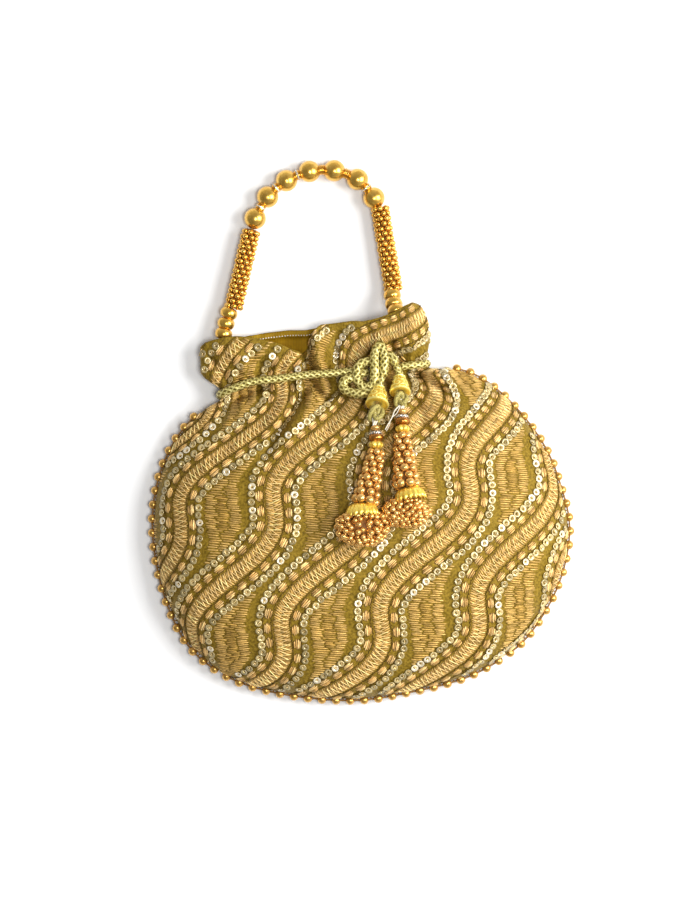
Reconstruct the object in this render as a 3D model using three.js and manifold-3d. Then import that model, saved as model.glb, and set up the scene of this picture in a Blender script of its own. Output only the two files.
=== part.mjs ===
// A potli: a small drawstring evening bag, lying on its back with its handle beyond its mouth.
// Millimetres, +Z up, +Y from the bag towards the handle, the origin on the surface it lies on.
import * as THREE from 'three';
import { mergeVertices } from 'three/addons/utils/BufferGeometryUtils.js';
import Module from 'manifold-3d';

const wasm = await Module();
wasm.setup();

// Driving dimensions.
const bodyHeight = 42;
const neckHeight = 17;
const crownReach = 28;
const seamHeight = 6;
const neckSeamHeight = 10;
const clothThickness = 1.2;
const layerGap = 0.9;
const liningThickness = 0.8;
const seamHalfGap = 0.3;
const cordDiameter = 4.6;
const edgeBeadDiameter = 5;
const edgeBeadPitch = 7.9;
const edgeStringTrim = 0.0012;
const threadDiameter = 1.6;
const boreDiameter = 3.6;
const wovenTubeBore = 5.4;
const handleBeadDiameter = 12;
const handleBeadPitch = 14.05;
const handleBeadCount = 7;
const endBeadDiameter = 8.8;
const endBeadLength = 5.4;
const endBeadPitch = 6;
const endBeadCount = 3;
const wovenTubeDiameter = 9.3;
const touchGap = 0.3;

const point = ([x, y, z = 0]) => new THREE.Vector3(x, y, z);
const curveThrough = (points) => new THREE.CatmullRomCurve3(points.map(point), false, 'centripetal');
const clamp01 = (value) => THREE.MathUtils.clamp(value, 0, 1);
const smooth = (value, from, to) => THREE.MathUtils.smoothstep(value, from, to);

// The seam outline of the bag, seen from above. Each side runs up from a lower corner to the neck
// and on, as the ruffle, to a corner of the mouth; the neck is where the drawstring gathers it.
const bottom = curveThrough([
  [-95.8, -116.5], [-78, -132.5], [-52.5, -142.5], [-5, -147.8], [27.5, -143.2], [59.5, -134.5],
  [81.5, -122], [93, -111.2],
]);
const neck = curveThrough([
  [-78, 20.8], [-61, 27.4], [-46, 29.9], [-17, 32.9], [10, 35.2], [37.4, 38.4],
]);
const leftBody = curveThrough([
  [-95.8, -116.5], [-108.4, -88.7], [-114.2, -52], [-110.4, -24.5], [-100, -3.2],
  [-88.6, 9.2], [-81.6, 15.4], [-78, 20.8],
]);
const rightBody = curveThrough([
  [93, -111.2], [108.4, -84], [114.2, -54], [109.2, -30], [100.4, -8.8],
  [81.2, 16], [62.8, 29.6], [50, 33], [41.4, 34.2], [37.4, 38.4],
]);
const leftRuffle = curveThrough([[-78, 20.8], [-82, 26], [-88.8, 31.5], [-90.2, 39.2], [-90.4, 47.6]]);
const rightRuffle = curveThrough([[37.4, 38.4], [38.8, 49.3], [37.4, 61], [35.3, 68]]);
const frontRim = curveThrough([
  [-90.4, 47.6], [-77, 46.6], [-60, 49.4], [-32, 52], [0, 57.5], [20, 60], [29, 63], [35.3, 68],
]);
const backRim = curveThrough([
  [-90.4, 47.6], [-77, 51], [-45, 56.5], [-20, 58.5], [9, 61], [26, 65.5], [35.3, 68],
]);
const neckHalfWidth = 4;

// Height along Y of the neck line for each X, in the middle of the bag and beyond its sides.
const neckSamples = [point([-125, 8]), ...neck.getSpacedPoints(24), point([125, 42])];
function neckLine(x) {
  const index = Math.max(1, neckSamples.findIndex((sample) => sample.x >= x));
  const before = neckSamples[index - 1];
  const after = neckSamples[index];
  return THREE.MathUtils.lerp(before.y, after.y, (x - before.x) / (after.x - before.x));
}

// Heights of the cloth over the surface, by the distance above (+) or below (-) the neck line.
function frontHeight(x, above) {
  const fallAway = Math.min(0, above + neckHalfWidth);
  if (above <= 0) return neckHeight + (bodyHeight - neckHeight) * (1 - Math.exp(fallAway / crownReach));
  return neckHeight + (1.5 + 8.5 * smooth(x, -30, 30)) * smooth(above, 3, 22);
}
function backHeight(above) {
  return 5.5 * smooth(above, -38, -5) - 2.2 * smooth(above, 5, 18);
}
function seamLevel(above) {
  return THREE.MathUtils.lerp(seamHeight, neckSeamHeight, smooth(above, -30, 0));
}

// How far each place lies in from the side and bottom seams, 0 on the seam and 1 where it is full.
const sideFullness = (u) => Math.sqrt(clamp01(1 - Math.abs(2 * u - 1) ** 2.6));
function bottomFullness(v) {
  const fullAt = 0.5;
  return v >= fullAt ? 1 : Math.sqrt(clamp01(1 - ((fullAt - v) / fullAt) ** 2.3));
}

// A patch stretched over four edge curves, u across and v from the low edge to the high one.
function patchPoint([low, high, left, right], u, v) {
  const across = left.getPointAt(v).lerp(right.getPointAt(v), u);
  const along = low.getPointAt(u).lerp(high.getPointAt(u), v);
  const lowCorners = low.getPointAt(0).lerp(low.getPointAt(1), u);
  const highCorners = high.getPointAt(0).lerp(high.getPointAt(1), u);
  return across.add(along).sub(lowCorners.lerp(highCorners, v));
}

const columns = 14;
const bodyRows = 13;
const ruffleRows = 4;
const rows = bodyRows + ruffleRows;

// One face of the bag as a grid of points; side is +1 for the front and -1 for the back.
function faceGrid(side) {
  const bodyEdges = [bottom, neck, leftBody, rightBody];
  const ruffleEdges = [neck, side > 0 ? frontRim : backRim, leftRuffle, rightRuffle];
  const grid = [];
  for (let row = 0; row <= rows; row += 1) {
    const line = [];
    const inBody = row <= bodyRows;
    const v = inBody ? 0.5 - 0.5 * Math.cos((Math.PI * row) / bodyRows) : (row - bodyRows) / ruffleRows;
    for (let column = 0; column <= columns; column += 1) {
      const u = 0.5 - 0.5 * Math.cos((Math.PI * column) / columns);
      const place = patchPoint(inBody ? bodyEdges : ruffleEdges, u, v);
      const above = place.y - neckLine(place.x);
      const fullness = sideFullness(u) * (inBody ? bottomFullness(v) : 1);
      const crown = side > 0 ? frontHeight(place.x, above) : backHeight(above);
      const flatness = side > 0 ? fullness : clamp01(fullness * 1.5);
      place.z = THREE.MathUtils.lerp(seamLevel(above) + side * seamHalfGap, crown, flatness);
      line.push(place);
    }
    grid.push(line);
  }
  return grid;
}

// A layer further in: inside points move along the face's own normal, seam points sideways.
function layerGrid(grid, side, inset) {
  return grid.map((line, row) => line.map((place, column) => {
    const before = line[Math.max(column - 1, 0)];
    const after = line[Math.min(column + 1, columns)];
    const below = grid[Math.max(row - 1, 0)][column];
    const above = grid[Math.min(row + 1, rows)][column];
    const across = after.clone().sub(before);
    const along = above.clone().sub(below);
    const inwards = along.clone().cross(across).multiplyScalar(side);
    const onSide = column === 0 || column === columns;
    const turn = column === 0 ? 1 : -1;
    if (onSide || row === 0) inwards.set(0, 0, 0);
    if (onSide) inwards.set(along.y * turn, -along.x * turn, 0).normalize();
    if (row === 0) inwards.add(new THREE.Vector3(-across.y, across.x, 0).normalize());
    return place.clone().addScaledVector(inwards.normalize(), inset);
  }));
}

// A closed mesh from faces whose corners are places; equal places become one vertex.
function solidFrom(faces) {
  const positions = [];
  for (const [a, b, c, d] of faces) {
    const corners = d ? [a, b, c, a, c, d] : [a, b, c];
    for (const corner of corners) positions.push(corner.x, corner.y, corner.z);
  }
  const geometry = new THREE.BufferGeometry();
  geometry.setAttribute('position', new THREE.Float32BufferAttribute(positions, 3));
  const merged = mergeVertices(geometry, 1e-4);
  merged.computeVertexNormals();
  return merged;
}
function gridFaces(grid, facing) {
  const faces = [];
  for (let row = 0; row < grid.length - 1; row += 1) {
    for (let column = 0; column < grid[row].length - 1; column += 1) {
      const quad = [grid[row][column], grid[row][column + 1], grid[row + 1][column + 1], grid[row + 1][column]];
      faces.push(facing > 0 ? quad : quad.reverse());
    }
  }
  return faces;
}
// The edge of a grid in order: along the bottom, up the right, back along the rim, down the left.
function gridEdge(grid) {
  const last = grid.length - 1;
  const right = grid.map((line) => line[line.length - 1]);
  const left = grid.map((line) => line[0]).reverse();
  return [...grid[0], ...right.slice(1), ...grid[last].slice(0, -1).reverse(), ...left.slice(1, -1)];
}
// The band between two loops of the same number of places.
function stripFaces(outer, inner, facing) {
  const faces = [];
  for (let index = 0; index < outer.length; index += 1) {
    const next = (index + 1) % outer.length;
    const quad = [outer[index], inner[index], inner[next], outer[next]];
    faces.push(facing > 0 ? quad : quad.reverse());
  }
  return faces;
}
function panelGeometry(side) {
  const outer = faceGrid(side);
  const inner = layerGrid(outer, side, clothThickness);
  const edge = stripFaces(gridEdge(outer), gridEdge(inner), side);
  return solidFrom([...gridFaces(outer, side), ...gridFaces(inner, -side), ...edge]);
}

// The lining is one sack: both its faces join along the sides and the bottom, and it is open at
// the mouth.
function sackGrids(inset) {
  const front = layerGrid(faceGrid(1), 1, inset);
  const back = layerGrid(faceGrid(-1), -1, inset);
  for (let row = 0; row <= rows; row += 1) {
    for (let column = 0; column <= columns; column += 1) {
      const onSeam = row === 0 || column === 0 || column === columns;
      if (!onSeam) continue;
      const middle = front[row][column].clone().lerp(back[row][column], 0.5);
      front[row][column].copy(middle);
      back[row][column].copy(middle);
    }
  }
  return { front, back };
}
function liningGeometry() {
  const outside = sackGrids(clothThickness + layerGap);
  const inside = sackGrids(clothThickness + layerGap + liningThickness);
  const mouthLoop = ({ front, back }) => [...front[rows], ...back[rows].slice(1, -1).reverse()];
  return solidFrom([
    ...gridFaces(outside.front, 1),
    ...gridFaces(outside.back, -1),
    ...gridFaces(inside.front, -1),
    ...gridFaces(inside.back, 1),
    ...stripFaces(mouthLoop(outside), mouthLoop(inside), -1),
  ]);
}

// Revolved pieces. A strung piece has a bore along its axis, so its profile closes on itself.
function strungPiece(profile, segments, boreAcross = boreDiameter) {
  const bore = boreAcross / 2;
  const first = profile[0];
  const last = profile[profile.length - 1];
  const outline = [[bore, first[1]], ...profile, [bore, last[1]], [bore, first[1]]];
  return new THREE.LatheGeometry(outline.map(([r, h]) => new THREE.Vector2(r, h)), segments);
}
function beadProfile(diameter, length, steps) {
  const start = Math.asin(boreDiameter / diameter) + 0.12;
  const profile = [];
  for (let step = 0; step <= steps; step += 1) {
    const angle = THREE.MathUtils.lerp(start, Math.PI - start, step / steps);
    profile.push([(diameter / 2) * Math.sin(angle), (-length / 2) * Math.cos(angle)]);
  }
  return profile;
}
function ringProfile(diameter, length) {
  const half = length / 2;
  const radius = diameter / 2;
  return [[radius * 0.8, -half], [radius, -half * 0.4], [radius, half * 0.4], [radius * 0.8, half]];
}

// A tube of one section along a curve.
function tubeGeometry(curve, diameter, sides, steps) {
  const section = new THREE.Shape();
  for (let side = 0; side < sides; side += 1) {
    const angle = (2 * Math.PI * side) / sides;
    const corner = [(diameter / 2) * Math.cos(angle), (diameter / 2) * Math.sin(angle)];
    if (side === 0) section.moveTo(...corner);
    else section.lineTo(...corner);
  }
  section.closePath();
  return new THREE.ExtrudeGeometry(section, { steps, extrudePath: curve, curveSegments: 1 });
}

// Booleans.
function toManifold(geometry) {
  const bare = geometry.clone();
  bare.deleteAttribute('normal');
  bare.deleteAttribute('uv');
  const merged = mergeVertices(bare, 1e-4);
  return new wasm.Manifold(new wasm.Mesh({
    numProp: 3,
    vertProperties: new Float32Array(merged.attributes.position.array),
    triVerts: new Uint32Array(merged.index.array),
  }));
}
function fromManifold(solid) {
  const mesh = solid.getMesh();
  const geometry = new THREE.BufferGeometry();
  geometry.setAttribute('position', new THREE.BufferAttribute(mesh.vertProperties, 3));
  geometry.setIndex(new THREE.BufferAttribute(mesh.triVerts, 1));
  geometry.computeVertexNormals();
  return geometry;
}

// Materials.
const finish = (color, roughness, metalness = 0) =>
  new THREE.MeshStandardMaterial({ color, roughness, metalness });
const brocade = finish(0xb08f55, 0.75);
const liningSilk = finish(0x86692a, 0.55);
const metallicCord = finish(0xb89f5a, 0.55);
const satinGold = finish(0xd4ad50, 0.3, 1);
const seedGold = finish(0xb9802c, 0.25, 1);
const crystal = finish(0xe9e4dc, 0.08);
const silver = finish(0xc9c6c0, 0.2, 1);
const capGold = finish(0xddbc4e, 0.3, 1);
const threadGold = finish(0xb7a45c, 0.7);

const bag = new THREE.Group();
function add(name, geometry, material, parent = bag) {
  const mesh = new THREE.Mesh(geometry, material);
  mesh.name = name;
  parent.add(mesh);
  return mesh;
}

// The cloth: two embroidered panels seamed round the edge, and the silk lining inside them.
add('front_panel', panelGeometry(1), brocade);
add('back_panel', panelGeometry(-1), brocade);
add('lining', liningGeometry(), liningSilk);

// The beads sewn round the seam, strung on one thread: a sweep whose radius swells at each bead.
const beadRoute = curveThrough([
  [-91, 11.4], [-103, -2.2], [-113.2, -23.4], [-117.4, -52], [-111.4, -89.6], [-98.1, -118.8],
  [-79.5, -135.2], [-53.2, -145.4], [-5, -150.9], [28.4, -146.1], [60.9, -137.3], [83.4, -124.4],
  [95.4, -113], [111.4, -85], [117.4, -54], [112.4, -30], [103, -7.2], [83.1, 18.2], [64.2, 32.3],
  [50, 36.6],
]);
function beadStringGeometry(from, to, beadCount) {
  const sides = 6;
  const rings = [];
  const swell = [0.26, 0.8, 1, 0.8];
  const reach = [-0.5, -0.22, 0, 0.22];
  const total = beadCount * swell.length;
  for (let index = 0; index <= total; index += 1) {
    const beadIndex = Math.min(Math.floor(index / swell.length), beadCount - 1);
    const phase = index === total ? 0 : index % swell.length;
    const offset = index === total ? 0.5 : reach[phase];
    const t = THREE.MathUtils.lerp(from, to, (beadIndex + 0.5 + offset) / beadCount);
    const centre = beadRoute.getPointAt(clamp01(t));
    const along = beadRoute.getTangentAt(clamp01(t));
    const outwards = new THREE.Vector3(along.y, -along.x, 0);
    centre.z = seamLevel(centre.y - neckLine(centre.x));
    const radius = (edgeBeadDiameter / 2) * swell[phase];
    const ring = [];
    for (let side = 0; side < sides; side += 1) {
      const angle = (2 * Math.PI * side) / sides;
      const place = centre.clone().addScaledVector(outwards, radius * Math.cos(angle));
      place.z += radius * Math.sin(angle);
      ring.push(place);
    }
    rings.push({ centre, ring });
  }
  const faces = [];
  for (let index = 0; index < rings.length - 1; index += 1) {
    for (let side = 0; side < sides; side += 1) {
      const next = (side + 1) % sides;
      const near = rings[index].ring;
      const far = rings[index + 1].ring;
      faces.push([near[side], far[side], far[next], near[next]]);
    }
  }
  for (const [end, facing] of [[rings[0], -1], [rings[rings.length - 1], 1]]) {
    for (let side = 0; side < sides; side += 1) {
      const corners = [end.centre, end.ring[side], end.ring[(side + 1) % sides]];
      faces.push(facing < 0 ? corners : corners.reverse());
    }
  }
  return solidFrom(faces);
}
const beadTotal = Math.round(beadRoute.getLength() / edgeBeadPitch);
const beadStrings = [['edge_beads_left', 0, 0.31], ['edge_beads_bottom', 0.31, 0.62], ['edge_beads_right', 0.62, 1]];
for (const [name, from, to] of beadStrings) {
  const count = Math.round(beadTotal * (to - from));
  add(name, beadStringGeometry(from + edgeStringTrim, to - edgeStringTrim, count), satinGold);
}


// The drawstring: one braided cord round the gathered neck, its two ends meeting in the bow.
const drawstringRoute = curveThrough([
  [-5.6, 34.2, 20], [-12.4, 33.4, 20], [-30.8, 31.9, 19.9], [-45.8, 29.9, 19.9], [-60.8, 28.2, 19.4],
  [-71, 24.6, 18.4], [-79.4, 21.6, 15.4], [-82.8, 20.6, 9.8], [-79.4, 20.6, 4.8], [-68, 24.6, 2.9],
  [-45, 30, 2.6], [-24, 32.1, 2.5], [-3, 34, 2.5], [22, 36.4, 2.6], [34, 37.9, 4.2],
  [41.4, 39, 9.8], [38, 38.6, 16.2], [31.6, 37.8, 19.4], [24, 36.9, 20.1], [21.2, 36.6, 20.2],
]);
add('drawstring', tubeGeometry(drawstringRoute, cordDiameter, 8, 46), metallicCord);

// The bow: the two ends of the drawstring, knotted, with three ears, each end going into a tassel.
const bowStrands = [
  [[10.6, 29.8, 27.4], [12.9, 34, 27.2], [13, 43, 25], [10.4, 48.6, 23.6], [7.6, 43.5, 25.2], [7.6, 33, 27.2],
    [6.4, 26.4, 26.6], [1.6, 25, 26.2], [-2.2, 30, 25], [-1.2, 37, 24.2], [4.6, 39.4, 23.8], [11, 37.6, 22.4]],
  [[4.4, 34.6, 22.2], [-3.8, 30.6, 23.2], [-9.2, 29, 24.2], [-10, 24.6, 25.6], [-4.4, 21.6, 27.4], [2.2, 21.6, 28],
    [7.6, 25.4, 24.8], [11.6, 33.4, 22.4], [15.8, 42, 22.6], [19, 40.4, 24.4], [21.2, 36, 25.2]],
];
let bow = null;
for (const strand of bowStrands) {
  const solid = toManifold(tubeGeometry(curveThrough(strand), cordDiameter, 8, 24));
  bow = bow ? bow.add(solid) : solid;
}
add('bow', fromManifold(bow), metallicCord);

// Strings pieces on a route: each is turned to the route's direction where its middle lies.
function placeOn(mesh, route, distance) {
  const t = clamp01(distance / route.getLength());
  mesh.position.copy(route.getPointAt(t));
  mesh.quaternion.setFromUnitVectors(new THREE.Vector3(0, 1, 0), route.getTangentAt(t));
}

// The handle: a cord threaded through end beads, woven bead tubes, large beads and spacers.
const handleRoute = curveThrough([
  [-77.2, 55.2, 8.6], [-74.4, 66.5, 8.2], [-71.8, 71.6, 8], [-61.2, 114.8, 6.9], [-59.5, 120.3, 6.6],
  [-52.6, 132.2, 6.3], [-41.9, 141.5, 6.1], [-28.7, 146.7, 6.05], [-14.7, 147, 6.05], [-1.5, 141.8, 6.1],
  [7.5, 131.2, 6.2], [9.6, 124.5, 6.4], [14.3, 104.1, 7], [17, 81.4, 7.8], [17.5, 77, 9.2],
  [18.3, 71.9, 12.6], [19.6, 67.6, 16.6],
]);
const handleLength = handleRoute.getLength();
const handle = new THREE.Group();
bag.add(handle);
const firstHandleBead = 67.5;
const lastHandleBead = firstHandleBead + (handleBeadCount - 1) * handleBeadPitch;
for (let index = 0; index < handleBeadCount; index += 1) {
  const bead = strungPiece(beadProfile(handleBeadDiameter, handleBeadDiameter, 6), 12);
  const mesh = add(`handle_bead_${index + 1}`, bead, satinGold, handle);
  placeOn(mesh, handleRoute, firstHandleBead + index * handleBeadPitch);
}
const spacerLooks = [crystal, crystal, crystal, satinGold, satinGold, crystal];
spacerLooks.forEach((material, index) => {
  const spacer = strungPiece(ringProfile(5.4, 1.4), 10);
  const mesh = add(`handle_spacer_${index + 1}`, spacer, material, handle);
  placeOn(mesh, handleRoute, firstHandleBead + (index + 0.5) * handleBeadPitch);
});
const endBeadReach = (endBeadCount - 1) * endBeadPitch + endBeadLength / 2 + touchGap;
const tubeSpans = [
  ['woven_tube_left', endBeadReach + touchGap, firstHandleBead - handleBeadDiameter / 2 - touchGap],
  ['woven_tube_right', lastHandleBead + handleBeadDiameter / 2 + touchGap, handleLength - endBeadReach - 2 * touchGap],
];
for (const [name, from, to] of tubeSpans) {
  const rings = 6;
  const outline = [];
  for (let ring = 0; ring <= rings; ring += 1) {
    outline.push([wovenTubeDiameter / 2, THREE.MathUtils.lerp(from - to, to - from, ring / rings) / 2]);
  }
  const mesh = add(name, strungPiece(outline, 10, wovenTubeBore), seedGold, handle);
  placeOn(mesh, handleRoute, (from + to) / 2);
}
for (const side of ['left', 'right']) {
  for (let index = 0; index < endBeadCount; index += 1) {
    const distance = index * endBeadPitch;
    const bead = strungPiece(beadProfile(endBeadDiameter, endBeadLength, 3), 10);
    const mesh = add(`end_bead_${side}_${index + 1}`, bead, satinGold, handle);
    placeOn(mesh, handleRoute, side === 'left' ? distance : handleLength - distance);
  }
}
add('handle_cord', tubeGeometry(handleRoute, threadDiameter, 5, 44), threadGold, handle);

// The two ends of the handle's cord, sewn down inside the mouth.
const anchorRoutes = {
  left: [[-77.8, 50.2, 8.8], [-78.6, 42, 9], [-78.4, 33, 9.6]],
  right: [[20.2, 62.4, 16.6], [20.6, 54, 14.4], [20.8, 45, 12.6]],
};
for (const [side, route] of Object.entries(anchorRoutes)) {
  add(`handle_anchor_${side}`, tubeGeometry(curveThrough(route), 2.4, 8, 6), threadGold);
}

// A tassel: a cord from the bow through a cone cap, a thread knot, small beads, a woven bead tube
// that widens downwards, and a fluted cap over a cluster of beads.
function addTassel(side, route, stations, cluster) {
  const tassel = new THREE.Group();
  bag.add(tassel);
  const length = route.getLength();
  const string = (name, geometry, material, distance) => {
    placeOn(add(`tassel_${side}_${name}`, geometry, material, tassel), route, distance);
  };
  const { cone, knot, ring, rondelle, flat, star, tube, cap } = stations;
  const coneHalf = cone.length / 2;
  const coneProfile = [[1.7, -coneHalf], [2.6, -coneHalf * 0.7], [cone.width / 2, coneHalf * 0.8],
    [cone.width / 2 - 0.6, coneHalf]];
  string('cone', strungPiece(coneProfile, 12), capGold, cone.at);
  string('thread_knot', strungPiece(beadProfile(knot.width, knot.length, 4), 10), threadGold, knot.at);
  string('ring_bead', strungPiece(beadProfile(ring.width, ring.length, 3), 10), satinGold, ring.at);
  string('rondelle', strungPiece(ringProfile(rondelle.width, rondelle.length), 10), silver, rondelle.at);
  string('flat_ring', strungPiece(ringProfile(flat.width, flat.length), 10), satinGold, flat.at);
  string('star_bead', strungPiece(beadProfile(star.width, star.length, 4), 10), satinGold, star.at);
  const tubeHalf = tube.length / 2;
  const tubeProfile = [[tube.topWidth / 2, -tubeHalf], [tube.topWidth / 2 + 1.2, -tubeHalf * 0.4],
    [tube.bottomWidth / 2 - 0.8, tubeHalf * 0.4], [tube.bottomWidth / 2, tubeHalf]];
  string('bead_tube', strungPiece(tubeProfile, 12), seedGold, tube.at);
  const rim = cap.width / 2;
  const capHalf = cap.length / 2;
  const capProfile = [[2.4, -capHalf], [rim * 0.72, -capHalf * 0.9], [rim * 0.97, 0], [rim, capHalf],
    [rim - 0.9, capHalf], [rim - 1.2, 0.4], [rim * 0.6, 1.2 - capHalf], [2.4, 1 - capHalf]];
  string('fluted_cap', strungPiece(capProfile, 14), capGold, cap.at);
  const clusterMesh = add(`tassel_${side}_cluster`, new THREE.SphereGeometry(1, 14, 9), seedGold, tassel);
  clusterMesh.scale.set(...cluster.halfSize);
  clusterMesh.position.set(...cluster.centre);
  const cordPoints = route.getSpacedPoints(24).filter((_, index) => index * length / 24 < cap.at);
  const cord = new THREE.CatmullRomCurve3(cordPoints);
  add(`tassel_${side}_cord`, tubeGeometry(cord, threadDiameter, 5, 14), threadGold, tassel);
}
addTassel('left', curveThrough([
  [10.4, 26, 27.4], [8.8, 14.6, 36], [7.8, 6, 39], [8.3, -3, 41.2], [8, -12, 43.2],
  [1.8, -39.7, 49.8], [-0.7, -46.8, 51.2], [-0.4, -52, 51.6],
]), {
  cone: { at: 7.2, length: 12.6, width: 11.8 },
  knot: { at: 18, length: 7.6, width: 8.2 },
  ring: { at: 27.3, length: 3.4, width: 5.5 },
  rondelle: { at: 30.2, length: 1.6, width: 7 },
  flat: { at: 32.4, length: 1.7, width: 8.4 },
  star: { at: 37, length: 6.2, width: 8.4 },
  tube: { at: 55.4, length: 28.4, topWidth: 9.6, bottomWidth: 15.6 },
  cap: { at: 74, length: 6.8, width: 18.6 },
}, { centre: [0.2, -57, 50.2], halfSize: [13.6, 8.8, 7.8] });
addTassel('right', curveThrough([
  [21.4, 32.2, 25], [21.8, 21.3, 32.9], [22.8, 12, 36.6], [23, 2.1, 39.6], [23.1, -3, 41.2],
  [25.6, -30.7, 49], [28, -37.4, 50.4], [27.6, -42, 50.6],
]), {
  cone: { at: 6.8, length: 11.4, width: 10.4 },
  knot: { at: 16.6, length: 6.4, width: 7.4 },
  ring: { at: 23.6, length: 3.4, width: 5.5 },
  rondelle: { at: 26.5, length: 1.6, width: 7 },
  flat: { at: 28.7, length: 1.7, width: 8.4 },
  star: { at: 33.2, length: 6, width: 8.4 },
  tube: { at: 51.4, length: 28, topWidth: 9.2, bottomWidth: 15.6 },
  cap: { at: 70.6, length: 6.4, width: 17.6 },
}, { centre: [26, -46.6, 49.4], halfSize: [12.4, 8, 7.4] });

export default bag;
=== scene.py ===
import math

import bpy
import numpy as np
from mathutils import Matrix, Vector


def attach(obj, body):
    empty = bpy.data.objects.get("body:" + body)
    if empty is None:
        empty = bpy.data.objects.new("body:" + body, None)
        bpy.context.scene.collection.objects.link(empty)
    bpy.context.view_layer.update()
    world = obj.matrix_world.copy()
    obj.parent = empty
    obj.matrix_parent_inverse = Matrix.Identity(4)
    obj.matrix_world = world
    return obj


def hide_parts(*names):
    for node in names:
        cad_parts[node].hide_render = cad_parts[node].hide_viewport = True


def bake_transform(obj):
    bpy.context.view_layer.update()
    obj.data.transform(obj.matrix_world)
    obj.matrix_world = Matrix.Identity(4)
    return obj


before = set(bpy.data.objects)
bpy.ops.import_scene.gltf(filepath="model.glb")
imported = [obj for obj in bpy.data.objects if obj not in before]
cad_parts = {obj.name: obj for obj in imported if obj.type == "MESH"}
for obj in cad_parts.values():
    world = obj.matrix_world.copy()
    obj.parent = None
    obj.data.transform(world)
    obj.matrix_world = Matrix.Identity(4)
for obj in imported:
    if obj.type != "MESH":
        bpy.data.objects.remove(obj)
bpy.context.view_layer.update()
bpy.ops.object.select_all(action="DESELECT")

# The camera looks straight down on the bag from far above, with the handle at the top.
camera_height = 2.5
camera_data = bpy.data.cameras.new("camera")
camera_data.sensor_width = 36.0
camera_data.lens = 176.0
camera = bpy.data.objects.new("camera", camera_data)
camera.location = (-0.0062, -0.012, camera_height)
bpy.context.collection.objects.link(camera)
bpy.context.scene.camera = camera


# The drawstring is a soft cord braided from lime gold metallic thread. It lies round the
# gathered neck, and its two ends come together in a bow in front.
def smooth_route(points, count):
    knots = np.array(points, float)
    knots = np.vstack([2 * knots[0] - knots[1], knots, 2 * knots[-1] - knots[-2]])
    fine = []
    for a, b, c, d in zip(knots, knots[1:], knots[2:], knots[3:]):
        before, between, after = (np.linalg.norm(q - p) ** 0.5 for p, q in ((a, b), (b, c), (c, d)))
        lead = ((b - a) / before - (c - a) / (before + between) + (c - b) / between) * between
        tail = ((c - b) / between - (d - b) / (between + after) + (d - c) / after) * between
        t = np.linspace(0, 1, 40, endpoint=False)[:, None]
        rise = (2 * t**3 - 3 * t**2 + 1) * b + (t**3 - 2 * t**2 + t) * lead
        fine.append(rise + (3 * t**2 - 2 * t**3) * c + (t**3 - t**2) * tail)
    fine = np.vstack(fine + [knots[-2:-1]])
    gone = np.concatenate([[0], np.cumsum(np.linalg.norm(np.diff(fine, axis=0), axis=1))])
    at = np.linspace(0, gone[-1], count)
    return np.stack([np.interp(at, gone, fine[:, k]) for k in range(3)], axis=1)


def route_frames(centres):
    along = np.gradient(centres, axis=0)
    along /= np.linalg.norm(along, axis=1)[:, None]
    side = np.cross(along[0], (0.13, 0.21, 0.97))
    across = []
    for direction in along:
        side = side - direction * side.dot(direction)
        side /= np.linalg.norm(side)
        across.append(side)
    across = np.array(across)
    return along, across, np.cross(along, across)


def new_piece(name, points, faces, uv=None):
    mesh = bpy.data.meshes.new(name)
    mesh.from_pydata([tuple(p) for p in points], [], faces)
    if uv is not None:
        layer = mesh.uv_layers.new(name="UVMap")
        corners = np.zeros(len(mesh.loops), np.int32)
        mesh.loops.foreach_get("vertex_index", corners)
        layer.data.foreach_set("uv", np.asarray(uv, np.float32)[corners].ravel())
    mesh.shade_smooth()
    piece = bpy.data.objects.new(name, mesh)
    bpy.context.collection.objects.link(piece)
    return piece


def braided_tube(name, points, diameter, strands=5, lay=0.0036, step=0.00042):
    length = np.linalg.norm(np.diff(smooth_route(points, 400), axis=0), axis=1).sum()
    count = int(length / step)
    centres = smooth_route(points, count)
    _, across, up = route_frames(centres)
    sides = 36
    angle = 2 * np.pi * np.arange(sides) / sides
    gone = np.linspace(0, length, count)
    turn = 2 * np.pi * gone[:, None] / lay
    one_way = np.cos(strands * angle[None, :] - turn)
    other_way = np.cos(strands * angle[None, :] + turn)
    over = np.cos(strands * angle[None, :]) * np.cos(turn)
    relief = np.maximum(one_way, other_way) * 0.7 + 0.3 * over
    slack = 0.02 * np.sin(gone[:, None] * 700) + 0.02 * np.sin(gone[:, None] * 1130 + 1)
    radius = diameter / 2 * (0.95 + slack + 0.065 * relief)
    ends = np.minimum(gone, length - gone) / (diameter / 2)
    radius = radius * np.sqrt(np.clip(1 - (1 - np.clip(ends, 0, 1)) ** 2, 0.02, 1))[:, None]
    rings = (
        centres[:, None]
        + across[:, None] * (radius * np.cos(angle))[..., None]
        + up[:, None] * (radius * np.sin(angle))[..., None]
    )
    index = np.arange(count * sides).reshape(count, sides)
    quads = np.stack(
        [index[:-1], np.roll(index[:-1], -1, 1), np.roll(index[1:], -1, 1), index[1:]], axis=-1
    ).reshape(-1, 4)
    faces = quads.tolist() + [index[0][::-1].tolist(), index[-1].tolist()]
    uv = np.stack(np.broadcast_arrays(angle[None] / (2 * np.pi), gone[:, None]), axis=-1)
    piece = new_piece(name, rings.reshape(-1, 3), faces, uv.reshape(-1, 2))
    return piece, centres, length


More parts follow.
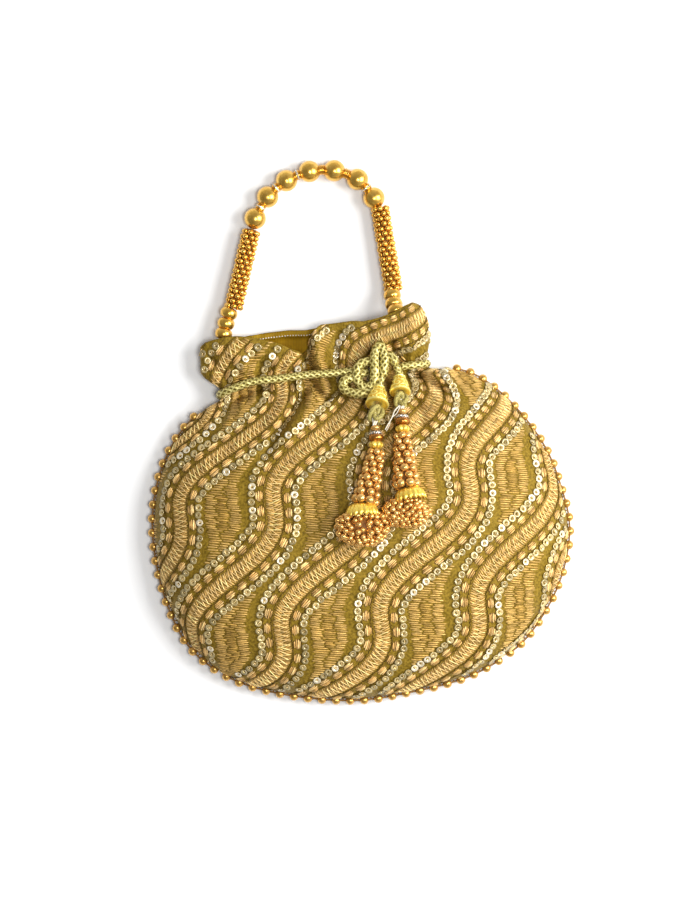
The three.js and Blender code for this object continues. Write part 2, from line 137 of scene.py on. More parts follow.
drawstring_route = [
    (0.0022, 0.0352, 0.0198), (-0.0124, 0.0334, 0.0200), (-0.0308, 0.0319, 0.0199),
    (-0.0458, 0.0299, 0.0199), (-0.0608, 0.0282, 0.0194), (-0.0710, 0.0246, 0.0184),
    (-0.0776, 0.0218, 0.0152), (-0.0792, 0.0208, 0.0098), (-0.0776, 0.0206, 0.0048),
    (-0.0680, 0.0246, 0.0029), (-0.0450, 0.0300, 0.0026), (-0.0240, 0.0321, 0.0025),
    (-0.0030, 0.0340, 0.0025), (0.0220, 0.0364, 0.0026), (0.0326, 0.0379, 0.0042),
    (0.0370, 0.0386, 0.0098), (0.0350, 0.0382, 0.0160), (0.0304, 0.0376, 0.0192),
    (0.0240, 0.0369, 0.0201), (0.0212, 0.0366, 0.0202),
]
drawstring_diameter = 0.0046
drawstring, drawstring_line, _ = braided_tube(
    "drawstring_braid", drawstring_route, drawstring_diameter
)

bow_strands = [
    [
        (0.0114, 0.0300, 0.0268), (0.0127, 0.0345, 0.0266), (0.0130, 0.0430, 0.0250),
        (0.0104, 0.0486, 0.0236), (0.0076, 0.0435, 0.0252), (0.0076, 0.0330, 0.0272),
        (0.0064, 0.0264, 0.0266), (0.0016, 0.0250, 0.0262), (-0.0022, 0.0300, 0.0250),
        (-0.0012, 0.0370, 0.0242), (0.0046, 0.0394, 0.0238), (0.0110, 0.0376, 0.0224),
    ],
    [
        (0.0044, 0.0346, 0.0222), (-0.0038, 0.0306, 0.0232), (-0.0092, 0.0290, 0.0242),
        (-0.0100, 0.0246, 0.0256), (-0.0044, 0.0216, 0.0274), (0.0022, 0.0216, 0.0280),
        (0.0076, 0.0254, 0.0248), (0.0116, 0.0334, 0.0224), (0.0154, 0.0428, 0.0226),
        (0.0176, 0.0412, 0.0244), (0.0187, 0.0388, 0.0250), (0.0195, 0.0370, 0.0251),
    ],
]
# The last of each end goes into its tassel's cone.
bow_ends = {
    "left": [
        (0.0119, 0.0322, 0.0267), (0.0110, 0.0290, 0.0269), (0.0104, 0.0260, 0.0276),
        (0.0101, 0.0234, 0.0294),
    ],
    "right": [
        (0.0191, 0.0378, 0.0250), (0.0203, 0.0350, 0.0249), (0.0214, 0.0322, 0.0252),
        (0.0215, 0.0300, 0.0267),
    ],
}


def join_pieces(name, pieces):
    bpy.ops.object.select_all(action="DESELECT")
    for piece in pieces:
        piece.select_set(True)
    bpy.context.view_layer.objects.active = pieces[0]
    if len(pieces) > 1:
        bpy.ops.object.join()
    pieces[0].name = name
    pieces[0].data.name = name
    bpy.ops.object.select_all(action="DESELECT")
    return pieces[0]


bow = join_pieces(
    "bow_braid",
    [braided_tube(f"strand_{i}", s, 0.0054)[0] for i, s in enumerate(bow_strands)],
)


bend_pieces = {
    side: braided_tube(f"bow_end_{side}", points, 0.0044)[0] for side, points in bow_ends.items()
}


class Nodes:
    """A material's node tree, with short calls that add a node and link its inputs."""

    def __init__(self, name):
        self.material = bpy.data.materials.new(name)
        self.material.use_nodes = True
        self.tree = self.material.node_tree
        self.shader = self.tree.nodes["Principled BSDF"]

    def add(self, kind, **settings):
        node = self.tree.nodes.new(kind)
        for key, value in settings.items():
            if key in node.bl_rna.properties:
                setattr(node, key, value)
            else:
                socket = node.inputs[key.replace("_", " ")]
                if isinstance(value, bpy.types.NodeSocket):
                    self.tree.links.new(value, socket)
                else:
                    socket.default_value = value
        return node

    def math(self, operation, first, second=None, third=None):
        node = self.tree.nodes.new("ShaderNodeMath")
        node.operation = operation
        for slot, value in enumerate((first, second, third)):
            if isinstance(value, bpy.types.NodeSocket):
                self.tree.links.new(value, node.inputs[slot])
            elif value is not None:
                node.inputs[slot].default_value = value
        return node.outputs[0]

    def ramp(self, factor, stops):
        node = self.tree.nodes.new("ShaderNodeValToRGB")
        ramp = node.color_ramp
        while len(ramp.elements) < len(stops):
            ramp.elements.new(0.5)
        for element, (position, colour) in zip(ramp.elements, stops):
            element.position = position
            element.color = (*colour, 1)
        self.tree.links.new(factor, node.inputs[0])
        return node.outputs[0]

    def mix(self, factor, first, second, blend="MIX"):
        node = self.tree.nodes.new("ShaderNodeMix")
        node.data_type = "RGBA"
        node.blend_type = blend
        for slot, value in ((0, factor), (6, first), (7, second)):
            if isinstance(value, bpy.types.NodeSocket):
                self.tree.links.new(value, node.inputs[slot])
            else:
                node.inputs[slot].default_value = value if slot == 0 else (*value, 1)
        return node.outputs[2]

    def bump(self, height, strength, distance):
        node = self.tree.nodes.new("ShaderNodeBump")
        node.inputs["Strength"].default_value = strength
        node.inputs["Distance"].default_value = distance
        self.tree.links.new(height, node.inputs["Height"])
        self.tree.links.new(node.outputs[0], self.shader.inputs["Normal"])

    def set(self, **values):
        for key, value in values.items():
            socket = self.shader.inputs[key.replace("_", " ")]
            if isinstance(value, bpy.types.NodeSocket):
                self.tree.links.new(value, socket)
            elif isinstance(value, tuple) and len(value) == 3:
                socket.default_value = (*value, 1)
            else:
                socket.default_value = value
        return self.material


def metallic_braid():
    n = Nodes("metallic_braid")
    uv = n.add("ShaderNodeUVMap")
    parts = n.add("ShaderNodeSeparateXYZ", Vector=uv.outputs[0])
    round_it, along = parts.outputs[0], parts.outputs[1]
    turn = n.math("MULTIPLY", along, 2 * math.pi / 0.0036)
    angle = n.math("MULTIPLY", round_it, 2 * math.pi * 5)
    one_way = n.math("SINE", n.math("SUBTRACT", angle, turn))
    other_way = n.math("SINE", n.math("ADD", angle, turn))
    strand = n.math("MAXIMUM", one_way, other_way)
    noise = n.add("ShaderNodeTexNoise", Scale=900.0, Detail=2.0)
    coordinates = n.add("ShaderNodeTexCoord")
    n.tree.links.new(coordinates.outputs["Object"], noise.inputs["Vector"])
    # Painted shade and painted highlight: the strand pattern drives the colour ramp, near black in the
    # grooves between strands and pale gold on their crests.
    shade = n.math("MULTIPLY_ADD", noise.outputs[0], 1.1, n.math("MULTIPLY", strand, 0.45))
    colour = n.ramp(
        shade,
        [
            (0.2, (0.11, 0.075, 0.009)), (0.5, (0.25, 0.19, 0.03)),
            (0.8, (0.44, 0.36, 0.08)), (1.0, (0.80, 0.70, 0.28)),
        ],
    )
    n.bump(shade, 0.4, 0.0003)
    return n.set(Base_Color=colour, Roughness=0.4, Metallic=0.4)


braid_material = metallic_braid()
for piece in (drawstring, bow):
    piece.data.materials.append(braid_material)
    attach(piece, "bag")
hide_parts("drawstring")
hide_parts("bow")
for side, piece in bend_pieces.items():
    piece.data.materials.append(braid_material)
    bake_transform(piece)

# A plain pale surface, and soft studio light that comes from above and a little from the right.
bpy.ops.mesh.primitive_plane_add(size=4.0, location=(0, 0, 0))
floor = bpy.context.active_object
floor.name = "floor"
floor_look = Nodes("floor_white")
floor_grain = floor_look.add("ShaderNodeTexNoise", Scale=40.0)
floor.data.materials.append(
    floor_look.set(
        Base_Color=floor_look.ramp(
            floor_grain.outputs[0], [(0.3, (0.93, 0.93, 0.93)), (0.7, (0.95, 0.95, 0.95))]
        ),
        Roughness=0.9,
        Specular_IOR_Level=0.1,
    )
)


def area_light(name, place, aim, size, power):
    data = bpy.data.lights.new(name, "AREA")
    data.shape = "RECTANGLE"
    data.size, data.size_y = size
    data.energy = power
    light = bpy.data.objects.new(name, data)
    light.location = place
    light.rotation_euler = (Vector(aim) - Vector(place)).to_track_quat("-Z", "Y").to_euler()
    bpy.context.collection.objects.link(light)


area_light("main_light", (1.05, 0.12, 0.98), (0, 0, 0.02), (0.8, 0.8), 26.0)
area_light("top_light", (0.22, -0.1, 1.7), (0, 0, 0), (0.4, 0.4), 13.0)
world = bpy.data.worlds.new("studio")
bpy.context.scene.world = world
world.use_nodes = True
sky_nodes = world.node_tree
sky = sky_nodes.nodes["Background"]
sky_way = sky_nodes.nodes.new("ShaderNodeTexCoord")
sky_colours = []
for lean, start, end, far_level in (((0.0, 0.0, 1.0), 0.25, 0.95, 0.34), ((-0.8, -0.6, 0.0), 0.0, 1.0, 0.3)):
    towards = sky_nodes.nodes.new("ShaderNodeVectorMath")
    towards.operation = "DOT_PRODUCT"
    towards.inputs[1].default_value = lean
    fade = sky_nodes.nodes.new("ShaderNodeValToRGB")
    fade.color_ramp.elements[0].position = start
    fade.color_ramp.elements[0].color = (1, 1, 1, 1)
    fade.color_ramp.elements[1].position = end
    fade.color_ramp.elements[1].color = (far_level, far_level, far_level, 1)
    sky_nodes.links.new(sky_way.outputs["Generated"], towards.inputs[0])
    sky_nodes.links.new(towards.outputs["Value"], fade.inputs[0])
    sky_colours.append(fade.outputs[0])
sky_mix = sky_nodes.nodes.new("ShaderNodeMix")
sky_mix.data_type = "RGBA"
sky_mix.blend_type = "MULTIPLY"
sky_mix.inputs[0].default_value = 1.0
sky_nodes.links.new(sky_colours[0], sky_mix.inputs[6])
sky_nodes.links.new(sky_colours[1], sky_mix.inputs[7])
sky_nodes.links.new(sky_mix.outputs[2], sky.inputs[0])
sky.inputs[1].default_value = 0.72
bpy.context.scene.view_settings.view_transform = "Standard"

# The bag is two pieces of khaki silk, seamed together down the sides and along the bottom and
# gathered at the neck. Above the neck the cloth stands out as a ruffle that leans in folds.
# All its curves, heights and folds are in millimetres.
bottom_seam = [
    (-97.5, -118), (-79.1, -134.2), (-53, -144.4), (-5, -149.8), (27.8, -145.1),
    (60.4, -136.4), (82.8, -123.5), (94.6, -112.4),
]
neck_seam = [(-75.8, 20.8), (-61, 27.4), (-46, 29.9), (-17, 32.9), (10, 35.2), (35.8, 38.2)]
left_seam = [
    (-97.5, -118), (-110.3, -89.3), (-116.3, -52), (-112.3, -23.9), (-101.6, -1.9),
    (-89.9, 10.8), (-80.4, 16.6), (-75.8, 20.8),
]
right_seam = [
    (94.6, -112.4), (110.3, -84.6), (116.3, -54), (111.3, -29.4), (102.1, -7.5),
    (82.7, 17.7), (63.8, 31.5), (50, 35), (40, 35.4), (35.8, 38.2),
]
left_ruffle = [(-75.8, 20.8), (-81.4, 26), (-88.8, 31.5), (-90.2, 39.2), (-90.4, 47.6)]
right_ruffle = [(35.8, 38.2), (38.2, 49.3), (37.4, 61), (35.3, 68)]
rim_across = [(-90.4, 47.6), (-60, 49.4), (-32, 52), (0, 57.5), (20, 60), (29, 63), (35.3, 68)]
front_rim = [
    (-90.4, 47.6), (-87.5, 50.2), (-82, 52.0), (-77, 53.0), (-70, 53.8), (-62, 53.2), (-53, 51.2),
    (-45, 49.2), (-40, 46.9), (-34.5, 45.0), (-31.6, 43.6), (-30.2, 47.0), (-28.6, 52.5),
    (-25.6, 57.6), (-21.5, 60.2), (-15, 60.9), (-5, 62.2), (1, 61.9), (9, 63.6), (14, 65.4),
    (19.5, 67.6), (24, 70.4), (28.6, 72.6), (32.2, 71.6), (34.4, 69.8), (35.3, 68),
]
back_rim = [
    (-90.4, 47.6), (-77, 51), (-64, 54), (-53, 55.9), (-41, 57.3), (-31, 57.4), (-22, 59.2),
    (-5, 60.2), (9, 61), (26, 65.5), (35.3, 68),
]
columns = 190
body_rows = 146
ruffle_rows = 34
column_ends = np.linspace(0, 1, columns)
column_at = 0.4 * column_ends + 0.6 * (0.5 - 0.5 * np.cos(np.pi * column_ends))


def along_curve(points, fractions):
    fine = smooth_route([(x, y, 0) for x, y in points], 600)
    at = np.linspace(0, 1, 600)
    return np.stack([np.interp(fractions, at, fine[:, k]) for k in (0, 1)], axis=-1)


def stretch_patch(low, high, left, right, fractions_up):
    u = column_at[None, :, None]
    v = fractions_up[:, None, None]
    corners = (1 - v) * ((1 - u) * low[0] + u * low[-1]) + v * ((1 - u) * high[0] + u * high[-1])
    return (1 - u) * left[:, None] + u * right[:, None] + (1 - v) * low + v * high - corners


def smooth_step(value, start, end):
    t = np.clip((value - start) / (end - start), 0, 1)
    return t * t * (3 - 2 * t)


neck_line = np.vstack([(-125, 8), along_curve(neck_seam, np.linspace(0, 1, 25)), (125, 42)])


def above_neck(x, y):
    return y - np.interp(x, neck_line[:, 0], neck_line[:, 1])


def crease(x, y, path, height, width, fade=(0.15, 0.25)):
    path = np.array(path, float)
    nearest = np.full(x.shape, 1e9)
    place = np.zeros(x.shape)
    steps = np.linalg.norm(np.diff(path, axis=0), axis=1)
    gone = np.concatenate([[0], np.cumsum(steps)])
    for start, end, step, before in zip(path, path[1:], steps, gone):
        way = (end - start) / step
        along = np.clip((x - start[0]) * way[0] + (y - start[1]) * way[1], 0, step)
        far = np.hypot(x - start[0] - along * way[0], y - start[1] - along * way[1])
        closer = far < nearest
        nearest[closer] = far[closer]
        place[closer] = ((before + along) / gone[-1])[closer]
    level = np.exp(-((nearest / width) ** 2))
    for share, end in ((fade[0], place), (fade[1], 1 - place)):
        if share:
            level = level * smooth_step(end, -0.02, share)
    return height * level


front_folds = [
    ([(-30.6, 66), (-30.2, 43), (-28.6, 33)], -14.0, 2.3, (0, 0)),
    ([(-28.6, 33), (-30.2, 23.5), (-39, 11.2), (-51, -8.4), (-57, -19)], -8.5, 2.3, (0, 0.45)),
    ([(-25.6, 66), (-24.6, 34)], 4.9, 3.6, (0, 0.2)),
    ([(-35, 21), (-44, 9), (-55, -7)], 3.0, 4.5, (0.3, 0.4)),
    ([(-24.5, 21), (-33, 8), (-46, -10)], 3.0, 4.5, (0.3, 0.4)),
    ([(-28, 28), (-23.5, 22.8), (-18.7, 18.6)], -6.5, 1.7, (0.2, 0)),
    ([(-18.7, 18.6), (-14, 21.5), (-10.4, 24), (-5, 25)], -5.0, 1.7, (0, 0.3)),
    ([(-50, 26.6), (-57, 24.2), (-64.2, 21.5), (-76.3, 12.6)], -5.6, 2.0, (0.2, 0.4)),
    ([(-60, 17), (-72, 9), (-82, -2)], 2.4, 5.0, (0.3, 0.4)),
    ([(16.4, 53), (19, 47), (22.2, 38.6)], -6.5, 1.9, (0.3, 0)),
    ([(27, 70), (28.5, 56), (28, 42)], 3.5, 5.0, (0, 0.2)),
    ([(5, 58), (6.5, 49), (4.5, 42)], -2.8, 2.6, (0.4, 0.1)),
    ([(27.5, 33.2), (36, 28.4), (44.2, 24), (52, 22.5)], -7.1, 2.2, (0, 0.35)),
    ([(37, 36), (46, 32), (58, 25)], 4.6, 4.6, (0.1, 0.4)),
    ([(38, 20), (50, 14), (62, 4)], 2.2, 5.0, (0.3, 0.4)),
    ([(-66, 24), (-84, 1)], -2.8, 3.0, (0.2, 0.5)),
    ([(-8, 24), (-14, 8), (-24, -10)], -2.2, 3.2, (0.2, 0.5)),
    ([(2, 26), (5, 4), (0, -16)], -4.7, 3.2, (0, 0.5)),
    ([(14, 28), (17, 6), (18, -14)], -4.7, 3.0, (0, 0.5)),
    ([(27, 30), (34, 8), (38, -12)], -2.5, 3.4, (0.2, 0.5)),
    ([(-86, 44), (-81, 36), (-73, 28)], -3.4, 2.2, (0.1, 0.1)),
    ([(-66, 50), (-58, 40), (-50, 33)], -1.6, 3.0, (0.3, 0.2)),
    ([(-76, 48), (-66, 38), (-58, 31)], 1.9, 4.0, (0.1, 0.2)),
    ([(-12, 58), (-14, 46), (-15, 36)], -1.9, 3.0, (0.3, 0.2)),
]


def front_height(x, y):
    above = above_neck(x, y)
    body = 17 + 25 * (1 - np.exp(np.minimum(0, above + 4) / 28))
    ruffle = 17 + (1.5 + 8.5 * smooth_step(x, -30, 30)) * smooth_step(above, 3, 22)
    return np.where(above <= 0, body, ruffle)


def back_height(x, y):
    above = above_neck(x, y)
    return 1.95 + 4.6 * smooth_step(above, -38, -5) - 1.6 * smooth_step(above, 5, 18)


def puckers(x, y):
    waves = np.sin(x / 2.3 + 1.7 * np.sin(y / 9.0)) * np.sin(y / 3.1 + 1.3 * np.sin(x / 7.0))
    return 0.35 * waves + 0.3 * np.sin(x / 5.1 + y / 6.3) * np.sin(x / 8.7 - y / 4.9)


def bag_face(rim, height, fold_list, side, gather):
    up_body = np.linspace(0, 1, body_rows)
    up_body = 0.5 * up_body + 0.5 * (0.5 - 0.5 * np.cos(np.pi * up_body))
    up_ruffle = np.linspace(0, 1, ruffle_rows)[1:]
    bottom_line = along_curve(bottom_seam, column_at)
    neck_places = along_curve(neck_seam, column_at)
    rim_line = along_curve(rim_across, column_at)
    rim_line[:, 1] = np.interp(rim_line[:, 0], *np.array(rim).T)
    body = stretch_patch(
        bottom_line, neck_places, along_curve(left_seam, up_body),
        along_curve(right_seam, up_body), up_body,
    )
    ruffle = stretch_patch(
        neck_places, rim_line, along_curve(left_ruffle, up_ruffle),
        along_curve(right_ruffle, up_ruffle), up_ruffle,
    )
    plan = np.concatenate([body, ruffle])
    x, y = plan[..., 0], plan[..., 1]
    above = above_neck(x, y)
    seam_level = 6 + 4 * smooth_step(above, -30, 0)
    across_full = np.sqrt(np.clip(1 - np.abs(2 * column_at - 1) ** 2.6, 0, 1))[None, :]
    low = np.clip((0.5 - np.concatenate([up_body, np.ones(ruffle_rows - 1)])) / 0.5, 0, 1)
    full = across_full * np.sqrt(np.clip(1 - low**2.3, 0, 1))[:, None]
    if side < 0:
        full = np.clip(1.5 * full, 0, 1)
    level = seam_level + side * 0.3
    smooth_z = level + (height(x, y) - level) * full
    points = np.stack([x, y, smooth_z], axis=-1)
    across = np.linalg.norm(np.diff(points, axis=1), axis=2)
    across = across * (1 + gather * np.exp(-((above[:, 1:] / 30) ** 2)))
    flat_x = np.concatenate([np.zeros((len(points), 1)), np.cumsum(across, axis=1)], axis=1)
    middle = columns // 2
    flat_x = flat_x - flat_x[:, middle:middle + 1] + x[:, middle:middle + 1]
    upward = np.linalg.norm(np.diff(points, axis=0), axis=2)
    flat_y = np.concatenate([np.zeros((1, columns)), np.cumsum(upward, axis=0)])
    middle_row = int(body_rows * 0.55)
    flat_y = flat_y - flat_y[middle_row:middle_row + 1] + y[middle_row:middle_row + 1]
    fold = sum((crease(x, y, *f) for f in fold_list), np.zeros(x.shape))
    fold = np.where(fold < 0, -9.5 * np.tanh(-fold / 9.5), fold)
    near_neck = np.exp(-((above / 11) ** 2))
    fold = fold + 1.3 * near_neck * np.sin(2 * np.pi * flat_x / 8.5 + 0.8 * np.sin(flat_x / 11))
    fold = fold + puckers(flat_x, flat_y) * (1.0 if side > 0 else 0.25)
    points[..., 2] = smooth_z + side * fold * smooth_step(full, 0.05, 0.75)
    return points, np.stack([flat_x, flat_y], axis=-1), above


def face_normals(points, side):
    across = np.gradient(points, axis=1)
    upward = np.gradient(points, axis=0)
    normal = np.cross(across, upward) * side
    return normal / np.maximum(np.linalg.norm(normal, axis=2), 1e-9)[..., None]


def grid_faces(row_count, column_count, side):
    index = np.arange(row_count * column_count).reshape(row_count, column_count)
    quads = np.stack([index[:-1, :-1], index[:-1, 1:], index[1:, 1:], index[1:, :-1]], axis=-1)
    quads = quads.reshape(-1, 4)
    return (quads if side > 0 else quads[:, ::-1]).tolist()


def thicken(piece, thickness):
    bpy.ops.object.select_all(action="DESELECT")
    bpy.context.view_layer.objects.active = piece
    piece.select_set(True)
    solidify = piece.modifiers.new("thickness", "SOLIDIFY")
    solidify.thickness = thickness
    solidify.offset = -1
    bpy.ops.object.modifier_apply(modifier="thickness")
    piece.select_set(False)


cloth = {}
for name, rim, height, folds, side in (
    ("front", front_rim, front_height, front_folds, 1),
    ("back", back_rim, back_height, [], -1),
):
    points, flat, above = bag_face(rim, height, folds, side, 0.35)
    normals = face_normals(points, side)
    piece = new_piece(
        f"{name}_cloth", points.reshape(-1, 3) / 1000, grid_faces(*points.shape[:2], side),
        uv=flat.reshape(-1, 2) / 1000,
    )
    thicken(piece, 0.001)
    cloth[name] = (piece, points, flat, normals)


def dyed(red, green, blue):
    return tuple(
        (c / 255 / 12.92) if c <= 10 else ((c / 255 + 0.055) / 1.055) ** 2.4
        for c in (red, green, blue)
    )


def khaki_silk():
    n = Nodes("khaki_silk")
    uv = n.add("ShaderNodeUVMap").outputs[0]
    parts = n.add("ShaderNodeSeparateXYZ", Vector=uv)
    warp = n.math("SINE", n.math("MULTIPLY", parts.outputs[0], 2 * math.pi / 0.00062))
    weft = n.math("SINE", n.math("MULTIPLY", parts.outputs[1], 2 * math.pi / 0.00062))
    weave = n.math("MULTIPLY", warp, weft)
    slubs = n.add("ShaderNodeTexNoise", Scale=700.0, Detail=3.0)
    n.tree.links.new(uv, slubs.inputs["Vector"])
    shade = n.math("MULTIPLY_ADD", weave, 0.12, slubs.outputs[0])
    colour = n.ramp(
        shade,
        [
            (0.3, dyed(84, 66, 14)), (0.5, dyed(122, 98, 28)), (0.7, dyed(150, 122, 42)),
        ],
    )
    n.bump(shade, 0.5, 0.0003)
    return n.set(
        Base_Color=colour, Roughness=0.55, Specular_Tint=dyed(255, 214, 120), Sheen_Weight=0.06,
        Sheen_Roughness=0.4, Sheen_Tint=dyed(230, 196, 120),
    )


khaki = khaki_silk()
for name in ("front", "back"):
    piece = cloth[name][0]
    piece.data.materials.append(khaki)
    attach(piece, "bag")
    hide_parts(f"{name}_panel")

# The embroidery is worked by hand over nearly all of the silk: wavy bands of herringbone edged
# with dark chain stitch, rows of padded satin ovals, rows of ring sequins, and satin leaves.
pattern_turn = math.radians(7)
group_step = 55.5
wave_length = 74.0


def wave_centre(group, t):
    turns = (t + 35) / wave_length
    return 2.3 + group_step * group + 59.9 * turns - 10 * np.sin(2 * np.pi * turns)


def pattern_to_flat(s, t):
    c, d = math.cos(pattern_turn), math.sin(pattern_turn)
    return np.stack([s * c - t * d, s * d + t * c], axis=-1)


def row_beside(group, offset, pitch, shift=0.0):
    t = np.arange(-185, 125, 0.25)
    line = np.stack([wave_centre(group, t), t], axis=-1)
    way = np.gradient(line, axis=0)
    way /= np.linalg.norm(way, axis=1)[:, None]
    line = line + offset * np.stack([way[:, 1], -way[:, 0]], axis=-1)
    line = pattern_to_flat(line[:, 0], line[:, 1])
    gone = np.concatenate([[0], np.cumsum(np.linalg.norm(np.diff(line, axis=0), axis=1))])
    at = np.arange(pitch * shift, gone[-1], pitch)
    places = np.stack([np.interp(at, gone, line[:, k]) for k in (0, 1)], axis=-1)
    ways = np.gradient(places, axis=0)
    return places, np.arctan2(ways[:, 1], ways[:, 0])


thread_luck = np.random.default_rng(11)
thread_colours = {
    "herringbone": dyed(182, 150, 92),
    "zigzag": dyed(240, 210, 154),
    "chain": dyed(100, 80, 34),
    "pad": dyed(198, 162, 106),
    "pad_bright": dyed(230, 198, 144),
    "leaf": dyed(176, 144, 80),
    "leaf_edge": dyed(222, 190, 128),
    "tack": dyed(232, 206, 154),
}


def stitch_rows(places, angles, length, width, height, colour, tilt=0.0, scatter=0.12):
    count = len(places)
    luck = thread_luck.uniform(-1, 1, (count, 5))
    shade = 1 + 0.34 * luck[:, 0]
    return {
        "place": places + 0.16 * luck[:, 1:3],
        "angle": angles + tilt + 0.07 * luck[:, 3],
        "length": np.full(count, length) * (1 + scatter * luck[:, 4]),
        "width": np.full(count, width),
        "height": np.full(count, height) * (1 + 0.15 * luck[:, 0]),
        "colour": np.array(thread_colours[colour])[None] * shade[:, None],
    }


def leaf_rows(group):
    rows = []
    slant = -0.2
    for t0 in np.arange(-185, 125, 1.22):
        middle = wave_centre(group + 0.5, t0)
        ends = []
        for side_group, sign in ((group, 1), (group + 1, -1)):
            s = middle
            for _ in range(7):
                t = t0 + slant * (s - middle)
                slope = wave_centre(side_group, t + 0.5) - wave_centre(side_group, t - 0.5)
                beside = 15.2 + (4.2 * smooth_step(1.2 - slope, 0, 0.9) if sign < 0 else 0.6)
                s = wave_centre(side_group, t) + sign * beside * math.sqrt(1 + slope**2)
            ends.append(s + thread_luck.uniform(-0.9, 0.9))
        if ends[1] - ends[0] < 1.6:
            continue
        width = ends[1] - ends[0]
        parts = max(1, round(width / 7.2))
        joints = np.linspace(ends[0], ends[1], parts + 1)
        joints[1:-1] += thread_luck.uniform(-1.3, 1.3, parts - 1)
        for a, b in zip(joints, joints[1:]):
            s = (a + b) / 2
            rows.append((s, t0 + slant * (s - middle), b - a + 0.9, min(s - ends[0], ends[1] - s)))
    rows = np.array(rows)
    stitches = stitch_rows(
        pattern_to_flat(rows[:, 0], rows[:, 1]), np.full(len(rows), pattern_turn + math.atan(slant)),
        1.0, 1.12, 0.75, "leaf", scatter=0.02,
    )
    stitches["length"] = rows[:, 2]
    edge = np.clip(1 - rows[:, 3] / 5.5, 0, 1)[:, None]
    bright = np.array(thread_colours["leaf_edge"]) * (1 + 0.2 * thread_luck.uniform(-1, 1, (len(rows), 1)))
    stitches["colour"] = stitches["colour"] * (1 - edge) + bright * edge
    return stitches


def herringbone_rows(group):
    found = []
    for side in (-1, 1):
        places, angles = row_beside(group, 2.4 * side, 1.3, 0.5 if side > 0 else 0)
        tilt = math.radians(90 + 24 * side)
        found.append(stitch_rows(places, angles, 5.4, 1.25, 0.5, "herringbone", tilt))
        places, angles = row_beside(group, 0, 2.6, 0.5 if side > 0 else 0)
        tilt = math.radians(90 - 15 * side)
        found.append(stitch_rows(places, angles, 9.6, 0.62, 0.95, "zigzag", tilt, 0.06))
    return found


def chain_rows(group):
    found = []
    for offset in (-10.2, -5.3, 5.3, 10.2):
        for half in (0, 1):
            places, angles = row_beside(group, offset, 3.0, half * 0.5)
            tilt = math.radians(22 if half else -22)
            found.append(stitch_rows(places, angles, 2.5, 0.62, 0.75, "chain", tilt))
    return found


def pad_rows(group):
    found = []
    for side in (-1, 1):
        for lane, share in ((-1.45, 0.7), (-0.5, 0.97), (0.5, 1.0), (1.45, 0.72)):
            places, angles = row_beside(group, 7.75 * side, 8.5, 0.3 * (side + 1))
            step = np.stack([-np.sin(angles), np.cos(angles)], axis=-1) * lane
            colour = "pad_bright" if lane * side < 0 else "pad"
            found.append(stitch_rows(places + step, angles, 7.3 * share, 1.25, 1.05, colour, 0, 0.06))
    return found


def gather_stitches(rows):
    return {key: np.concatenate([row[key] for row in rows]) for key in rows[0]}


# One stitch is a bundle of threads: three five-point ribs between two tips, closed underneath.
rib_across = np.array([-1, -0.68, 0, 0.68, 1])
rib_height = np.array([0, 0.72, 1, 0.72, 0])
stitch_points = [(-1.0, 0.0, 0.05)]
for rib_at, rib_share in ((-0.66, 0.82), (0.0, 1.0), (0.66, 0.82)):
    for b, h in zip(rib_across, rib_height):
        stitch_points.append((rib_at, b * rib_share, h * (0.6 + 0.4 * rib_share)))
stitch_points.append((1.0, 0.0, 0.05))
stitch_points = np.array(stitch_points)
stitch_faces = []
for k in range(4):
    stitch_faces.append((0, 2 + k, 1 + k))
    stitch_faces.append((16, 11 + k, 12 + k))
    for rib in (1, 6):
        stitch_faces.append((rib + k, rib + k + 1, rib + k + 6))
        stitch_faces.append((rib + k, rib + k + 6, rib + k + 5))
stitch_faces += [(0, 1, 5), (16, 15, 11), (1, 6, 10), (1, 10, 5), (6, 11, 15), (6, 15, 10)]
stitch_faces = np.array(stitch_faces)


def sample_grid(grid, row, column):
    r = np.clip(row.astype(int), 0, grid.shape[0] - 2)
    c = np.clip(column.astype(int), 0, grid.shape[1] - 2)
    fr = (row - r)[:, None]
    fc = (column - c)[:, None]
    low = grid[r, c] * (1 - fc) + grid[r, c + 1] * fc
    high = grid[r + 1, c] * (1 - fc) + grid[r + 1, c + 1] * fc
    return low * (1 - fr) + high * fr


def find_on_cloth(flat, targets):
    """The row and column of the cloth grid at each flat place, and how far off each one is."""
    rows, cols = flat.shape[:2]
    middle = cols // 2
    row = np.interp(targets[:, 1], flat[:, middle, 1], np.arange(rows))
    column = np.full(len(targets), float(middle))
    for _ in range(14):
        here = sample_grid(flat, row, column)
        by_row = sample_grid(flat, np.minimum(row + 0.5, rows - 1), column) - sample_grid(
            flat, np.maximum(row - 0.5, 0), column
        )
        by_column = sample_grid(flat, row, np.minimum(column + 0.5, cols - 1)) - sample_grid(
            flat, row, np.maximum(column - 0.5, 0)
        )
        miss = targets - here
        scale = by_row[:, 0] * by_column[:, 1] - by_row[:, 1] * by_column[:, 0]
        scale = np.where(np.abs(scale) < 1e-6, 1e-6, scale)
        row_step = (miss[:, 0] * by_column[:, 1] - miss[:, 1] * by_column[:, 0]) / scale
        column_step = (by_row[:, 0] * miss[:, 1] - by_row[:, 1] * miss[:, 0]) / scale
        row = np.clip(row + np.clip(row_step, -25, 25), 0, rows - 1)
        column = np.clip(column + np.clip(column_step, -25, 25), 0, cols - 1)
    off = np.linalg.norm(targets - sample_grid(flat, row, column), axis=1)
    return row, column, off


